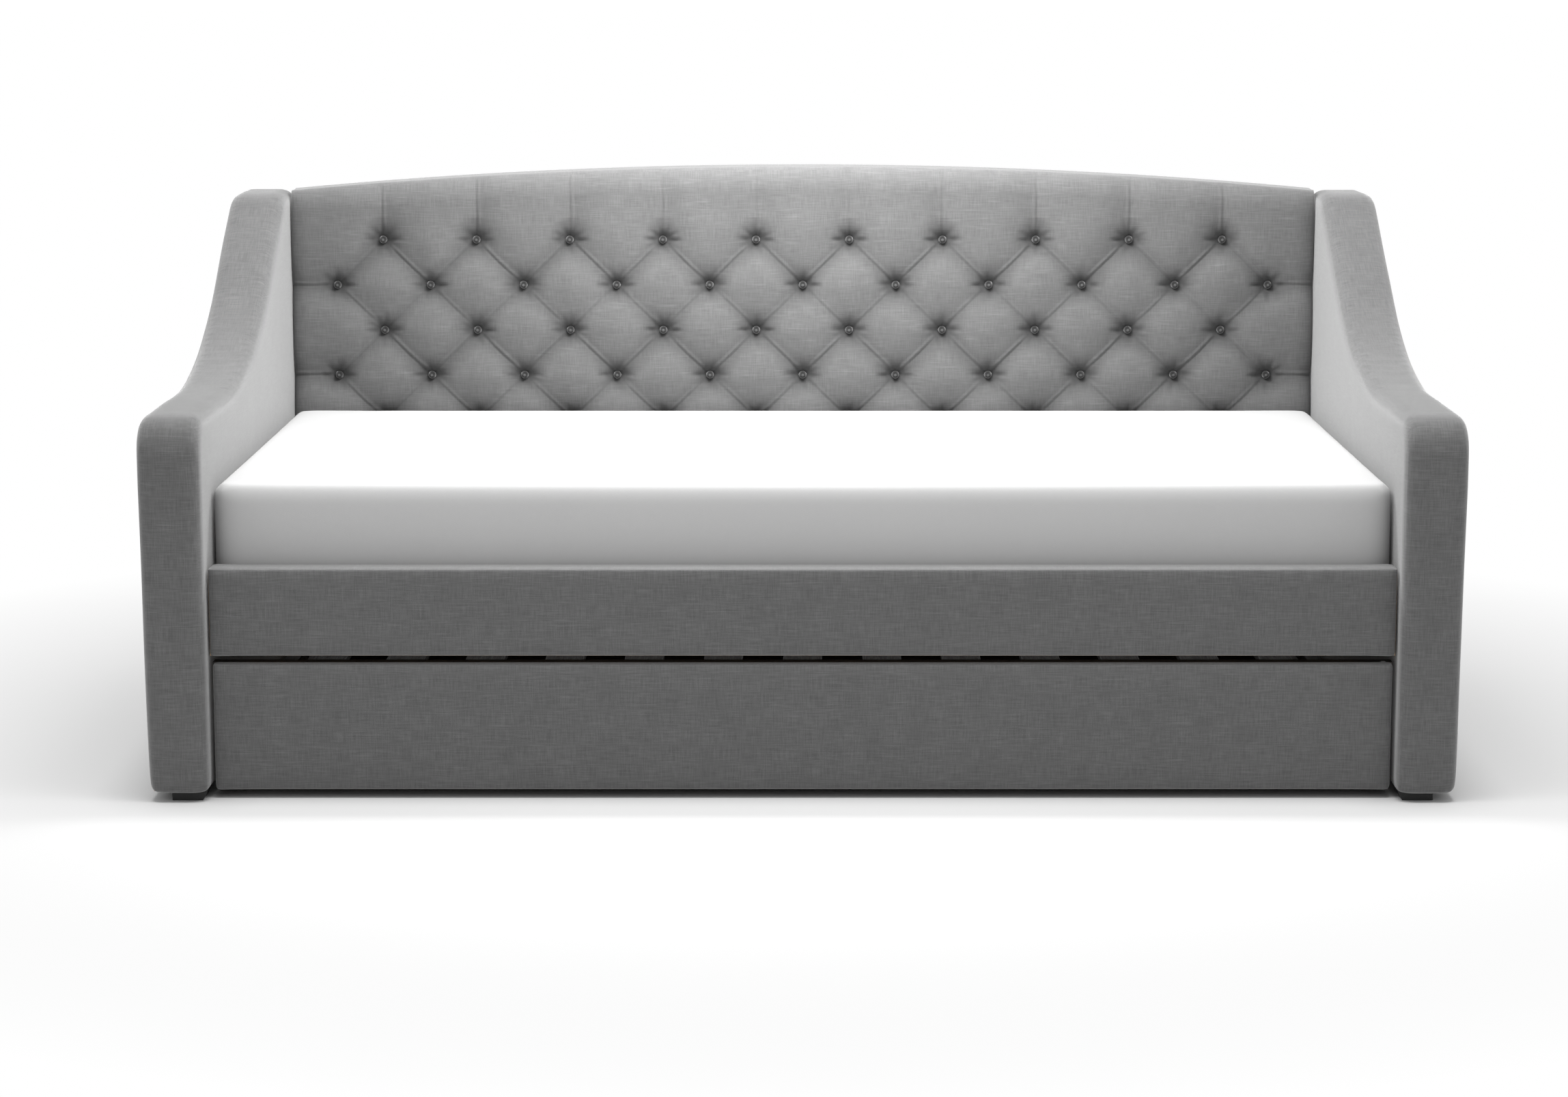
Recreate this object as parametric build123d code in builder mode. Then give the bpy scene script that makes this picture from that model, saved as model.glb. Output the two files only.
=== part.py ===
from build123d import *
from math import floor, radians, sqrt, tan
import os

# Upholstered daybed with a button-tufted back and a trundle that rolls out under it, in millimetres.
# X runs along the bed, -Y is its front and Z is up. The origin is on the floor, under the bed's middle.

os.makedirs("parts", exist_ok=True)

# ---- Driving dimensions -------------------------------------------------------------------------

mattress_length = 1905.0
mattress_width = 990.0
mattress_height = 200.0
mattress_corner = 30.0
mattress_edge = 22.0
mattress_sink = 71.0            # how far the mattress stands below the front rail's top

arm_gap = 9.5                   # mattress end to arm
rail_gap = 2.0                  # mattress front to front rail
back_gap = 3.0                  # mattress rear to back pad

arm_thickness = 103.0
arm_low_z = 628.0               # flat front part of an arm's top
arm_high_z = 917.0              # shoulder beside the back
arm_slope = 33.0                # degrees, from the flat part up to the shoulder
arm_shoulder_setback = 50.0     # shoulder corner, ahead of the back pad
arm_front_radius = 60.0
arm_dip_radius = 860.0
arm_shoulder_radius = 100.0
arm_rear_radius = 26.0
arm_edge_radius = 22.0
arm_lead = 35.0                 # arm front, ahead of the front rail

rail_depth = 55.0
rail_bottom_z = 232.0
rail_height = 149.0
rail_edge_radius = 8.0
rail_end_inset = 1.0            # rail's beam and foam, inside the ends of its cover

back_depth = 105.0
back_pad_depth = 50.0
back_side_z = 918.0
back_peak_z = 963.0
back_edge_radius = 25.0
back_arm_gap = 1.0
back_frame_gap = 2.5            # back's outer face to the timber under it
back_pad_lift = 4.0             # pad's bottom, above the slats
rear_cover_inset = 1.0
stile_width = 25.0
middle_stile_width = 45.0
middle_stile_pitches = (1.75, 3.75)     # middle stiles, in button pitches from the bed's middle
back_rail_height = 70.0

tuft_pitch = 175.4
tuft_row_pitch = 85.3
tuft_rows = 5
tuft_drop = 92.4                # back's side corner down to the first row
tuft_margin = 60.0
dimple_radius = 36.0
dimple_depth = 24.0
button_radius = 12.0
button_thickness = 8.0
button_edge_radius = 4.8
button_gap = 1.0                # radial, button to the side of its dimple
tie_radius = 1.5
toggle_length = 16.0
toggle_thickness = 3.0

foot_height = 17.0
foot_length = 57.0
foot_setback = 20.0             # foot, behind the arm's front and ahead of its rear
foot_side_gap = 4.0             # foot, from the arm's inner face
foot_taper = 7.0
foot_edge_radius = 3.0
foot_screw_z = 4.0              # underside of a foot screw's head
foot_screw_shift = 4.0          # foot screws, outward of the foot's middle
foot_screw_step = 15.0          # foot screws, each side of the foot's middle

cover = 1.5                     # fabric thickness
foam = 12.0                     # foam wrap thickness
foam_gap = 0.3                  # foam to the inside of its cover
frame_gap = 0.2                 # timber to the foam round it
mattress_cover_thickness = 3.0
panel = 9.0                     # plywood panels
board = 9.0                     # plywood behind the back pad
post_width = 60.0
front_post_margin = 30.0        # front post, behind the rail bolts
middle_post_width = 90.0
timber = 40.0

slat_width = 70.0
slat_thickness = 18.0
slat_pitch = 138.0
slat_edge_radius = 3.0
slat_end_gap = 20.0             # outer slat to the arm, at the least
cleat = 30.0
cleat_end_gap = 12.0            # cleat's end to the rail bracket
rear_slat_rail_lift = 12.0      # rear slat rail, above the bottom of the front rail
strap_width = 25.0
strap_thickness = 1.2
strap_offset = 250.0            # straps, each side of the centre beam
strap_end_gap = 5.0             # strap's end, inside the outer slat's edge
beam_setback = 5.0              # centre beam, behind the mattress's middle
beam_end_gap = 1.0

bolt_radius = 4.0
bolt_head_radius = 7.6
bolt_head_height = 5.2
nut_radius = 6.0
nut_length = 24.0
nut_pocket_gap = 1.0            # nut's end to the end of its pocket
bolt_tip = 8.0                  # bolt's tip, past its nut's middle
rail_bolt_setback = 25.0        # rail bolts, behind the front rail
rail_bolt_drops = (40.0, 14.0)  # rail bolts, below the slats
back_bolt_setback = 14.0        # back bolts, behind the back's plywood
back_bolt_rise = 30.0           # lowest back bolt, above the bottom rail's height
back_bolt_drops = (60.0, 140.0)         # upper back bolts, below the arm's two levels
hole_gap = 0.15                 # radial, round a bolt, nut or screw
screw_radius = 2.0
screw_length = 40.0
screw_head = 2.0                # the countersunk head's height
screw_head_gap = 1.0            # radial, round a sunk screw's head
trundle_screw_length = 28.0
plate = 2.5                     # bracket and hanger steel
bracket_leg = 50.0
bracket_height = 50.0
bracket_drop = 2.0              # brackets and hangers, below the slats
bracket_screw_edge = 12.0       # screw to the bracket's top or bottom edge
bracket_screw_end = 14.0        # screw to the bracket's free end
hanger_depth = 40.0
hanger_screw_offset = 32.0
hanger_ear = 13.0               # steel beyond a hanger's screws

trundle_gap = 4.0               # trundle front to each arm
trundle_side_gap = 10.0         # trundle frame to each arm
trundle_top_gap = 7.0           # trundle front, below the front rail
trundle_bottom_z = 14.0
trundle_front_depth = 36.0
trundle_edge_radius = 5.0
trundle_rear_y = 470.0
trundle_timber = 28.0
trundle_rail_z = 35.0
trundle_rail_height = 45.0
trundle_rear_drop = 17.0         # rear rail below the side rails, closing the view beneath them
trundle_slat_thickness = 15.0
trundle_slat_pitch = 144.0
trundle_slat_inset = 2.0        # slat's end, inside the trundle's frame

wheel_radius = 25.0
wheel_width = 22.0
wheel_side_gap = 1.0
wheel_edge_radius = 3.0
wheel_rim = 7.0                 # tread to the recess in a wheel's face
wheel_recess = 5.5
hub_wall = 5.0
axle_radius = 4.0
axle_gap = 0.05
axle_head = 3.0                 # the head's thickness, and its rim beyond the axle
cheek = 2.0                     # wheel bracket steel
cheek_width = 40.0
bracket_above_wheel = 8.0
bracket_below_axle = 11.0
wheel_screw_drop = 8.0          # wheel bracket's top to its screws
wheel_screw_edge = 7.0          # wheel bracket's edge to its screws
wheel_inset = 62.0              # wheel centre, from the inside of the trundle's rails
body_gap = 0.3                  # mattress to the slats that carry it
past = 1.0                      # how far a cut runs past what it cuts

# ---- Places that follow from them ---------------------------------------------------------------

overall_depth = arm_lead + rail_depth + rail_gap + mattress_width + back_gap + back_depth
front_y = -overall_depth / 2
rail_front_y = front_y + arm_lead
rail_rear_y = rail_front_y + rail_depth
mattress_front_y = rail_rear_y + rail_gap
mattress_rear_y = mattress_front_y + mattress_width
back_front_y = mattress_rear_y + back_gap
rear_y = overall_depth / 2

inner_half = mattress_length / 2 + arm_gap
outer_half = inner_half + arm_thickness
back_half = inner_half - back_arm_gap
rail_half = inner_half - back_arm_gap

rail_top_z = rail_bottom_z + rail_height
deck_z = rail_top_z - mattress_sink
slat_bottom_z = deck_z - slat_thickness

wrap = cover + foam_gap + foam          # outer face of a cover to the timber under it
frame_inset = wrap + frame_gap
frame_x = (inner_half + frame_inset, outer_half - frame_inset)
post_half = (frame_x[0] + panel, frame_x[1] - panel)
sill_top_z = foot_height + timber

pad_bottom_z = deck_z + back_pad_lift
frame_front_y = back_front_y + back_pad_depth + back_frame_gap
board_rear_y = frame_front_y + board
frame_rear_y = rear_y - cover
frame_half = back_half - back_frame_gap


# ---- Shared shapes ------------------------------------------------------------------------------

def block(x, y, z, mode=Mode.ADD):
    """A box in the part being built, from its lowest to its highest x, y and z."""
    with Locations(((x[0] + x[1]) / 2, (y[0] + y[1]) / 2, (z[0] + z[1]) / 2)):
        Box(x[1] - x[0], y[1] - y[0], z[1] - z[0], mode=mode)


def both_sides(x):
    """A range of x on the right, and its twin on the left."""
    return [x, (-x[1], -x[0])]


def drill_x(centres, radius, x):
    """Holes along X through the part being built, at (y, z) centres."""
    with Locations(*[((x[0] + x[1]) / 2, y, z) for y, z in centres]):
        Cylinder(radius, x[1] - x[0], rotation=(0, 90, 0), mode=Mode.SUBTRACT)


def save(shape, name):
    """Label a finished piece and write it as parts/name.step."""
    shape.label = name
    export_step(shape, "parts/" + name + ".step")


def save_pair(shape, name):
    """Write a right-hand piece and its mirror image on the left."""
    save(shape, name + "_right")
    with BuildPart() as twin:
        mirror(shape, about=Plane.YZ)
    save(twin.part, name + "_left")


def screw_shape(length, gap):
    """A countersunk screw, pointing down from its head's top at the origin, grown all round by gap."""
    with BuildPart() as screw:
        with BuildSketch(Plane.XZ):
            with BuildLine():
                Polyline(
                    (0, gap),
                    (2 * screw_radius + gap, gap),
                    (screw_radius + gap, -screw_head),
                    (screw_radius + gap, -length - gap),
                    (0, -length - gap),
                    close=True,
                )
            make_face()
        revolve(axis=Axis.Z)
    return screw.part


def place(shape, places, mode=Mode.ADD):
    """Copies of a shape in the part being built."""
    with Locations(*places):
        add(shape, mode=mode)


# ---- Fasteners' places --------------------------------------------------------------------------

rail_bolt_x = inner_half - plate                # underside of a rail bolt's head
back_bolt_x = frame_half - stile_width          # underside of a back bolt's head
nut_x = sum(post_half) / 2
rail_bolt_y = rail_rear_y + rail_bolt_setback
rail_bolts = [(rail_bolt_y, slat_bottom_z - drop) for drop in rail_bolt_drops]
back_bolt_y = board_rear_y + back_bolt_setback
back_bolts = [
    (back_bolt_y, rail_bottom_z + back_rail_height + back_bolt_rise),
    (back_bolt_y, arm_low_z - back_bolt_drops[0]),
    (back_bolt_y, arm_high_z - back_bolt_drops[1]),
]
hanger_y = (mattress_front_y + mattress_rear_y) / 2 + beam_setback
hanger_screw_z = slat_bottom_z - timber / 2

wood_screw = screw_shape(screw_length, 0.0)
wood_screw_hole = screw_shape(screw_length, hole_gap)
hanger_screws = [
    Location((side * (inner_half - plate), hanger_y + step, hanger_screw_z), (0, -90 * side, 0))
    for side in (1, -1)
    for step in (-hanger_screw_offset, hanger_screw_offset)
]
foot_middle_x = inner_half + foot_side_gap + foot_length / 2
foot_middle_y = -front_y - foot_setback - foot_length / 2
foot_screw_x = foot_middle_x + foot_screw_shift
foot_screws = [
    Location((side * foot_screw_x, end * foot_middle_y + step, foot_screw_z), (180, 0, 0))
    for side in (1, -1)
    for end in (-1, 1)
    for step in (-foot_screw_step, foot_screw_step)
]


# ---- Arms ---------------------------------------------------------------------------------------

def arm_outline(inset, bottom, x):
    """An arm's side view at x, drawn inset inside its outer line."""
    slope = radians(arm_slope)
    shift = inset * tan(slope / 2)
    shoulder_y = back_front_y - arm_shoulder_setback
    dip_y = shoulder_y - (arm_high_z - arm_low_z) / tan(slope)
    with BuildSketch(Plane.YZ.offset(x)) as outline:
        with BuildLine():
            top = FilletPolyline(
                (front_y + inset, bottom),
                (front_y + inset, arm_low_z - inset),
                (dip_y + shift, arm_low_z - inset),
                (shoulder_y + shift, arm_high_z - inset),
                (rear_y - inset, arm_high_z - inset),
                (rear_y - inset, bottom),
                radius=[
                    arm_front_radius - inset,
                    arm_dip_radius + inset,
                    arm_shoulder_radius - inset,
                    arm_rear_radius - inset,
                ],
            )
            Line(top @ 1, top @ 0)
        make_face()
    return outline.sketch


def arm_form(inset, bottom):
    """The right arm's whole rounded body, inset on every side but its bottom."""
    with BuildPart() as form:
        extrude(arm_outline(inset, bottom, inner_half + inset), amount=arm_thickness - 2 * inset)
        sides = form.faces().filter_by(Axis.X)
        rims = sides.edges().filter_by(lambda edge: edge.center().Z > bottom + past)
        fillet(rims, arm_edge_radius - inset)
    return form.part


def arm_core(inset, x):
    """A slab of the arm's side view, between two values of x."""
    with BuildPart() as core:
        extrude(arm_outline(inset, foot_height, x[0]), amount=x[1] - x[0])
    return core.part


def arm_drillings(x):
    """Holes for the rail and back bolts and the hanger screws, over a range of x."""
    drill_x(rail_bolts + back_bolts, bolt_radius + hole_gap, x)
    place(wood_screw_hole, hanger_screws[:2], Mode.SUBTRACT)


arm_skin = arm_form(0.0, foot_height)
arm_hollow = arm_form(cover, foot_height)
arm_padding = arm_form(cover + foam_gap, foot_height)
arm_void = arm_core(frame_inset, frame_x)

with BuildPart() as arm_cover:
    add(arm_skin)
    add(arm_hollow, mode=Mode.SUBTRACT)
    arm_drillings((inner_half - past, inner_half + cover + past))
save_pair(arm_cover.part, "arm_cover")

with BuildPart() as arm_foam:
    add(arm_padding)
    add(arm_void, mode=Mode.SUBTRACT)
    arm_drillings((inner_half, frame_x[0] + past))
save_pair(arm_foam.part, "arm_foam")

with BuildPart() as arm_inner_panel:
    add(arm_core(frame_inset, (frame_x[0], post_half[0])))
    arm_drillings((frame_x[0] - past, post_half[0] + past))
save_pair(arm_inner_panel.part, "arm_inner_panel")

with BuildPart() as arm_outer_panel:
    add(arm_core(frame_inset, (post_half[1], frame_x[1])))
save_pair(arm_outer_panel.part, "arm_outer_panel")

# The timbers fill the arm's outline between its panels, so each is cut from that outline.
arm_inside = arm_core(frame_inset, post_half)
arm_front_inside = front_y + frame_inset
arm_rear_inside = rear_y - frame_inset
front_post_y = (arm_front_inside, rail_bolt_y + front_post_margin)
middle_post_y = (hanger_y - middle_post_width / 2, hanger_y + middle_post_width / 2)
rear_post_y = (arm_rear_inside - post_width, arm_rear_inside)

with BuildPart() as arm_posts:
    for post_y in (front_post_y, middle_post_y, rear_post_y):
        block(post_half, post_y, (sill_top_z, arm_high_z))
    add(arm_inside, mode=Mode.INTERSECT)
    drill_x(rail_bolts + back_bolts, bolt_radius + hole_gap, (inner_half, nut_x + bolt_tip + past))
    place(wood_screw_hole, hanger_screws[:2], Mode.SUBTRACT)
    rail_pocket_y = (rail_bolt_y - nut_length / 2 - nut_pocket_gap, front_post_y[1] + past)
    back_pocket_y = (rear_post_y[0] - past, back_bolt_y + nut_length / 2 + nut_pocket_gap)
    for pocket_y, bolts in ((rail_pocket_y, rail_bolts), (back_pocket_y, back_bolts)):
        with Locations(*[(nut_x, sum(pocket_y) / 2, z) for _, z in bolts]):
            Cylinder(
                nut_radius + hole_gap,
                pocket_y[1] - pocket_y[0],
                rotation=(90, 0, 0),
                mode=Mode.SUBTRACT,
            )
save_pair(arm_posts.part, "arm_posts")

with BuildPart() as arm_rails:
    block(post_half, (arm_front_inside, arm_rear_inside), (foot_height, sill_top_z))
    place(wood_screw_hole, foot_screws[:4], Mode.SUBTRACT)
    rail_z = (arm_low_z - frame_inset - timber, arm_low_z)
    block(post_half, (front_post_y[1], middle_post_y[0]), rail_z)
    add(arm_inside, mode=Mode.INTERSECT)
save_pair(arm_rails.part, "arm_rails")


# ---- Back ---------------------------------------------------------------------------------------

def arch_outline(half, inset, bottom, y):
    """The back's front view at y: straight sides, and a top that is one shallow arc."""
    rise = back_peak_z - back_side_z
    radius = (back_half**2 + rise**2) / (2 * rise)
    side_z = back_peak_z - radius + sqrt((radius - inset) ** 2 - half**2)
    with BuildSketch(Plane.XZ.offset(-y)) as outline:
        with BuildLine():
            Polyline((-half, side_z), (-half, bottom), (half, bottom), (half, side_z))
            ThreePointArc((-half, side_z), (0, back_peak_z - inset), (half, side_z))
        make_face()
    return outline.sketch


def back_form(inset, end_y):
    """The pad and the frame under it, inset on every side but the rear, which ends at end_y."""
    pad_front = back_front_y + inset
    frame_front = back_front_y + back_pad_depth + inset
    half = back_half - inset
    with BuildPart() as form:
        extrude(arch_outline(half, inset, pad_bottom_z + inset, pad_front), amount=pad_front - end_y)
        extrude(
            arch_outline(half, inset, rail_bottom_z + inset, frame_front), amount=frame_front - end_y
        )
        arcs = form.edges().filter_by(GeomType.CIRCLE).sort_by(Axis.Y)
        fillet(arcs[0], back_edge_radius - inset)
    return form.part


def tuft_places():
    """The (x, z) of every button: staggered rows, each as wide as the back allows."""
    reach = (back_half - tuft_margin) / tuft_pitch
    places = []
    for row in range(tuft_rows):
        shift = 0.5 if row % 2 == 0 else 0.0
        count = floor(reach + shift)
        columns = [column - shift for column in range(1, count + 1)]
        columns += [-column for column in columns]
        if shift == 0.0:
            columns.append(0.0)
        z = back_side_z - tuft_drop - row * tuft_row_pitch
        places += [(column * tuft_pitch, z) for column in columns]
    return places


def dimple(grow):
    """A cone that opens to the front, from the button's seat at the origin."""
    with BuildPart(Plane.XZ.offset(-grow)) as cone:
        Cone(
            button_radius + button_gap + grow,
            dimple_radius + grow,
            dimple_depth + grow,
            align=(Align.CENTER, Align.CENTER, Align.MIN),
        )
    return cone.part


tufts = tuft_places()
seat_y = back_front_y + dimple_depth
seats = [(x, seat_y, z) for x, z in tufts]


def drill_ties(y):
    """Holes along Y for the button ties."""
    with Locations(*[(x, (y[0] + y[1]) / 2, z) for x, z in tufts]):
        Cylinder(tie_radius + hole_gap, y[1] - y[0], rotation=(90, 0, 0), mode=Mode.SUBTRACT)


back_skin = back_form(0.0, frame_rear_y)
back_hollow = back_form(cover, frame_rear_y + past)
back_padding = back_form(cover + foam_gap, frame_rear_y)
dimple_skin = dimple(0.0)
dimple_hollow = dimple(cover)
dimple_padding = dimple(cover + foam_gap)

with BuildPart() as back_void:
    add(back_hollow)
    place(dimple_hollow, seats, Mode.SUBTRACT)

with BuildPart() as back_cover:
    add(back_skin)
    place(dimple_skin, seats, Mode.SUBTRACT)
    add(back_void.part, mode=Mode.SUBTRACT)
    drill_ties((back_front_y, frame_front_y))
    drill_x(back_bolts, bolt_radius + hole_gap, (-back_half - past, back_half + past))
save(back_cover.part, "back_cover")

with BuildPart() as back_foam:
    add(back_padding)
    place(dimple_padding, seats, Mode.SUBTRACT)
    drill_ties((back_front_y, frame_front_y + past))
    frame_zone = arch_outline(frame_half, frame_inset, rail_bottom_z, frame_front_y)
    extrude(frame_zone, amount=frame_front_y - rear_y, mode=Mode.SUBTRACT)
    low_zone = (rail_bottom_z, pad_bottom_z)
    block((-inner_half, inner_half), (frame_front_y - foam, frame_front_y), low_zone, Mode.SUBTRACT)
    side_zone = (back_front_y + back_pad_depth, rear_y)
    for side in both_sides((frame_half - past, inner_half)):
        block(side, side_zone, (0, back_peak_z), Mode.SUBTRACT)
save(back_foam.part, "back_foam")

with BuildPart() as back_board:
    extrude(
        arch_outline(frame_half, frame_inset, rail_bottom_z + back_frame_gap, frame_front_y),
        amount=-board,
    )
    drill_ties((frame_front_y - past, board_rear_y + past))
save(back_board.part, "back_board")

with BuildPart() as back_top_rail:
    extrude(
        arch_outline(frame_half - stile_width, frame_inset, arm_low_z, board_rear_y),
        amount=board_rear_y - frame_rear_y,
    )
    extrude(
        arch_outline(back_half, frame_inset + back_rail_height, 0, board_rear_y),
        amount=board_rear_y - frame_rear_y,
        mode=Mode.SUBTRACT,
    )
save(back_top_rail.part, "back_top_rail")

bottom_rail_z = (rail_bottom_z + back_frame_gap, rail_bottom_z + back_frame_gap + back_rail_height)
inner_frame_half = frame_half - stile_width
with BuildPart() as back_bottom_rail:
    block((-inner_frame_half, inner_frame_half), (board_rear_y, frame_rear_y), bottom_rail_z)
save(back_bottom_rail.part, "back_bottom_rail")

stile_spans = both_sides((inner_frame_half, frame_half))
for pitches in middle_stile_pitches:
    middle_x = pitches * tuft_pitch
    stile_spans += both_sides((middle_x - middle_stile_width / 2, middle_x + middle_stile_width / 2))

with BuildPart() as back_stiles:
    for span in stile_spans:
        block(span, (board_rear_y, frame_rear_y), (bottom_rail_z[0], back_peak_z))
    frame_outline = arch_outline(frame_half, frame_inset, bottom_rail_z[0], board_rear_y)
    extrude(frame_outline, amount=board_rear_y - frame_rear_y, mode=Mode.INTERSECT)
    add(back_top_rail.part, mode=Mode.SUBTRACT)
    add(back_bottom_rail.part, mode=Mode.SUBTRACT)
    drill_x(back_bolts, bolt_radius + hole_gap, (-back_half, back_half))
save(back_stiles.part, "back_stiles")

with BuildPart() as back_rear_cover:
    rear_outline = arch_outline(
        back_half - rear_cover_inset, rear_cover_inset, rail_bottom_z + rear_cover_inset, frame_rear_y
    )
    extrude(rear_outline, amount=frame_rear_y - rear_y)
save(back_rear_cover.part, "back_rear_cover")

with BuildPart() as button:
    with BuildSketch(Plane.XZ):
        Circle(button_radius)
    extrude(amount=button_thickness)
    fillet(button.edges().sort_by(Axis.Y)[0], button_edge_radius)

with BuildPart() as tuft_buttons:
    place(button.part, seats)
save(tuft_buttons.part, "tuft_buttons")

with BuildPart() as tie:
    length = board_rear_y - seat_y
    with Locations((0, length / 2, 0)):
        Cylinder(tie_radius, length, rotation=(90, 0, 0))
    block(
        (-toggle_thickness / 2, toggle_thickness / 2),
        (length, length + toggle_thickness),
        (-toggle_length / 2, toggle_length / 2),
    )

with BuildPart() as tuft_ties:
    place(tie.part, seats)
save(tuft_ties.part, "tuft_ties")


# ---- Front rail ---------------------------------------------------------------------------------

def rail_form(inset, half, rear_inset):
    """The front rail's rounded bar, inset on its front, top and bottom."""
    with BuildPart() as form:
        block(
            (-half, half),
            (rail_front_y + inset, rail_rear_y - rear_inset),
            (rail_bottom_z + inset, rail_top_z - inset),
        )
        fillet(form.edges().filter_by(Axis.X), rail_edge_radius - inset)
    return form.part


rail_skin = rail_form(0.0, rail_half, 0.0)
rail_hollow = rail_form(cover, rail_half + past, cover)
rail_padding = rail_form(cover + foam_gap, rail_half - rail_end_inset, cover + foam_gap)
bracket_top_z = slat_bottom_z - bracket_drop
bracket_z = (bracket_top_z - bracket_height, bracket_top_z)
bracket_screw_x = inner_half - bracket_leg + bracket_screw_end
bracket_screws = [
    Location((side * bracket_screw_x, rail_rear_y + plate, z), (-90, 0, 0))
    for side in (1, -1)
    for z in (bracket_z[0] + bracket_screw_edge, bracket_z[1] - bracket_screw_edge)
]

beam_y = (rail_front_y + frame_inset, rail_rear_y - cover - foam_gap)
beam_z = (rail_bottom_z + cover + foam_gap, rail_top_z - frame_inset)

with BuildPart() as front_rail_cover:
    add(rail_skin)
    add(rail_hollow, mode=Mode.SUBTRACT)
    place(wood_screw_hole, bracket_screws, Mode.SUBTRACT)
save(front_rail_cover.part, "front_rail_cover")

with BuildPart() as front_rail_foam:
    add(rail_padding)
    block((-inner_half, inner_half), (beam_y[0], rail_rear_y), (0, beam_z[1]), Mode.SUBTRACT)
save(front_rail_foam.part, "front_rail_foam")

with BuildPart() as front_rail_beam:
    block((-rail_half + rail_end_inset, rail_half - rail_end_inset), beam_y, beam_z)
    chamfer(front_rail_beam.edges().filter_by(Axis.X).sort_by(Axis.Y)[-2:], rail_edge_radius - cover)
    place(wood_screw_hole, bracket_screws, Mode.SUBTRACT)
save(front_rail_beam.part, "front_rail_beam")


# ---- Mattress deck ------------------------------------------------------------------------------

slat_reach = inner_half - slat_end_gap - slat_width / 2
slat_count = floor(2 * slat_reach / slat_pitch) + 1
slat_x = [(index - (slat_count - 1) / 2) * slat_pitch for index in range(slat_count)]
slat_rear_y = frame_front_y - cleat / 2
front_cleat_y = (rail_rear_y, rail_rear_y + cleat)
rear_slat_rail_y = (back_front_y, back_front_y + back_pad_depth)
slat_screws = [
    Location((x, sum(y) / 2, deck_z)) for x in slat_x for y in (front_cleat_y, rear_slat_rail_y)
]

with BuildPart() as front_cleat:
    cleat_half = inner_half - bracket_leg - cleat_end_gap
    block((-cleat_half, cleat_half), front_cleat_y, (slat_bottom_z - cleat, slat_bottom_z))
    place(wood_screw_hole, slat_screws, Mode.SUBTRACT)
save(front_cleat.part, "front_cleat")

with BuildPart() as rear_slat_rail:
    rear_rail_z = (rail_bottom_z + rear_slat_rail_lift, slat_bottom_z)
    block((-rail_half, rail_half), rear_slat_rail_y, rear_rail_z)
    place(wood_screw_hole, slat_screws, Mode.SUBTRACT)
save(rear_slat_rail.part, "rear_slat_rail")

with BuildPart() as slats:
    for x in slat_x:
        block(
            (x - slat_width / 2, x + slat_width / 2),
            (mattress_front_y, slat_rear_y),
            (slat_bottom_z, deck_z),
        )
    fillet(slats.edges().filter_by(Axis.Y), slat_edge_radius)
    place(wood_screw_hole, slat_screws, Mode.SUBTRACT)
save(slats.part, "slats")

with BuildPart() as slat_straps:
    strap_z = (slat_bottom_z - strap_thickness, slat_bottom_z)
    strap_half = slat_x[-1] + slat_width / 2 - strap_end_gap
    for middle in (hanger_y - strap_offset, hanger_y + strap_offset):
        span = (middle - strap_width / 2, middle + strap_width / 2)
        block((-strap_half, strap_half), span, strap_z)
save(slat_straps.part, "slat_straps")

with BuildPart() as centre_beam:
    beam_span = (hanger_y - timber / 2, hanger_y + timber / 2)
    beam_half = inner_half - plate - beam_end_gap
    block((-beam_half, beam_half), beam_span, (slat_bottom_z - timber, slat_bottom_z))
save(centre_beam.part, "centre_beam")

with BuildPart() as beam_hangers:
    ear = hanger_screw_offset + hanger_ear
    cup = (hanger_y - timber / 2 - plate, hanger_y + timber / 2 + plate)
    for x in both_sides((inner_half - plate, inner_half)):
        block(x, (hanger_y - ear, hanger_y + ear), (slat_bottom_z - timber, bracket_top_z))
    for x in both_sides((inner_half - hanger_depth, inner_half)):
        block(x, cup, (slat_bottom_z - timber - plate, bracket_top_z))
    for x in both_sides((inner_half - hanger_depth - past, inner_half - plate)):
        block(x, beam_span, (slat_bottom_z - timber, slat_bottom_z), Mode.SUBTRACT)
    place(wood_screw_hole, hanger_screws, Mode.SUBTRACT)
save(beam_hangers.part, "beam_hangers")


# ---- Joining hardware ---------------------------------------------------------------------------

with BuildPart() as rail_brackets:
    for x in both_sides((inner_half - bracket_leg, inner_half)):
        block(x, (rail_rear_y, rail_rear_y + plate), bracket_z)
    for x in both_sides((inner_half - plate, inner_half)):
        block(x, (rail_rear_y, rail_rear_y + bracket_leg), bracket_z)
    drill_x(rail_bolts, bolt_radius + hole_gap, (-outer_half, outer_half))
    place(wood_screw_hole, bracket_screws, Mode.SUBTRACT)
save(rail_brackets.part, "rail_brackets")


def bolt_shape(length):
    """A hexagon-headed bolt along X, with the underside of its head at the origin."""
    with BuildPart() as bolt:
        with Locations((length / 2, 0, 0)):
            Cylinder(bolt_radius, length, rotation=(0, 90, 0))
        with BuildSketch(Plane.YZ):
            RegularPolygon(bolt_head_radius, 6)
        extrude(amount=-bolt_head_height)
    return bolt.part


with BuildPart() as nut:
    Cylinder(nut_radius, nut_length, rotation=(90, 0, 0))
    Cylinder(bolt_radius + hole_gap, 2 * nut_radius + past, rotation=(0, 90, 0), mode=Mode.SUBTRACT)

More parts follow.
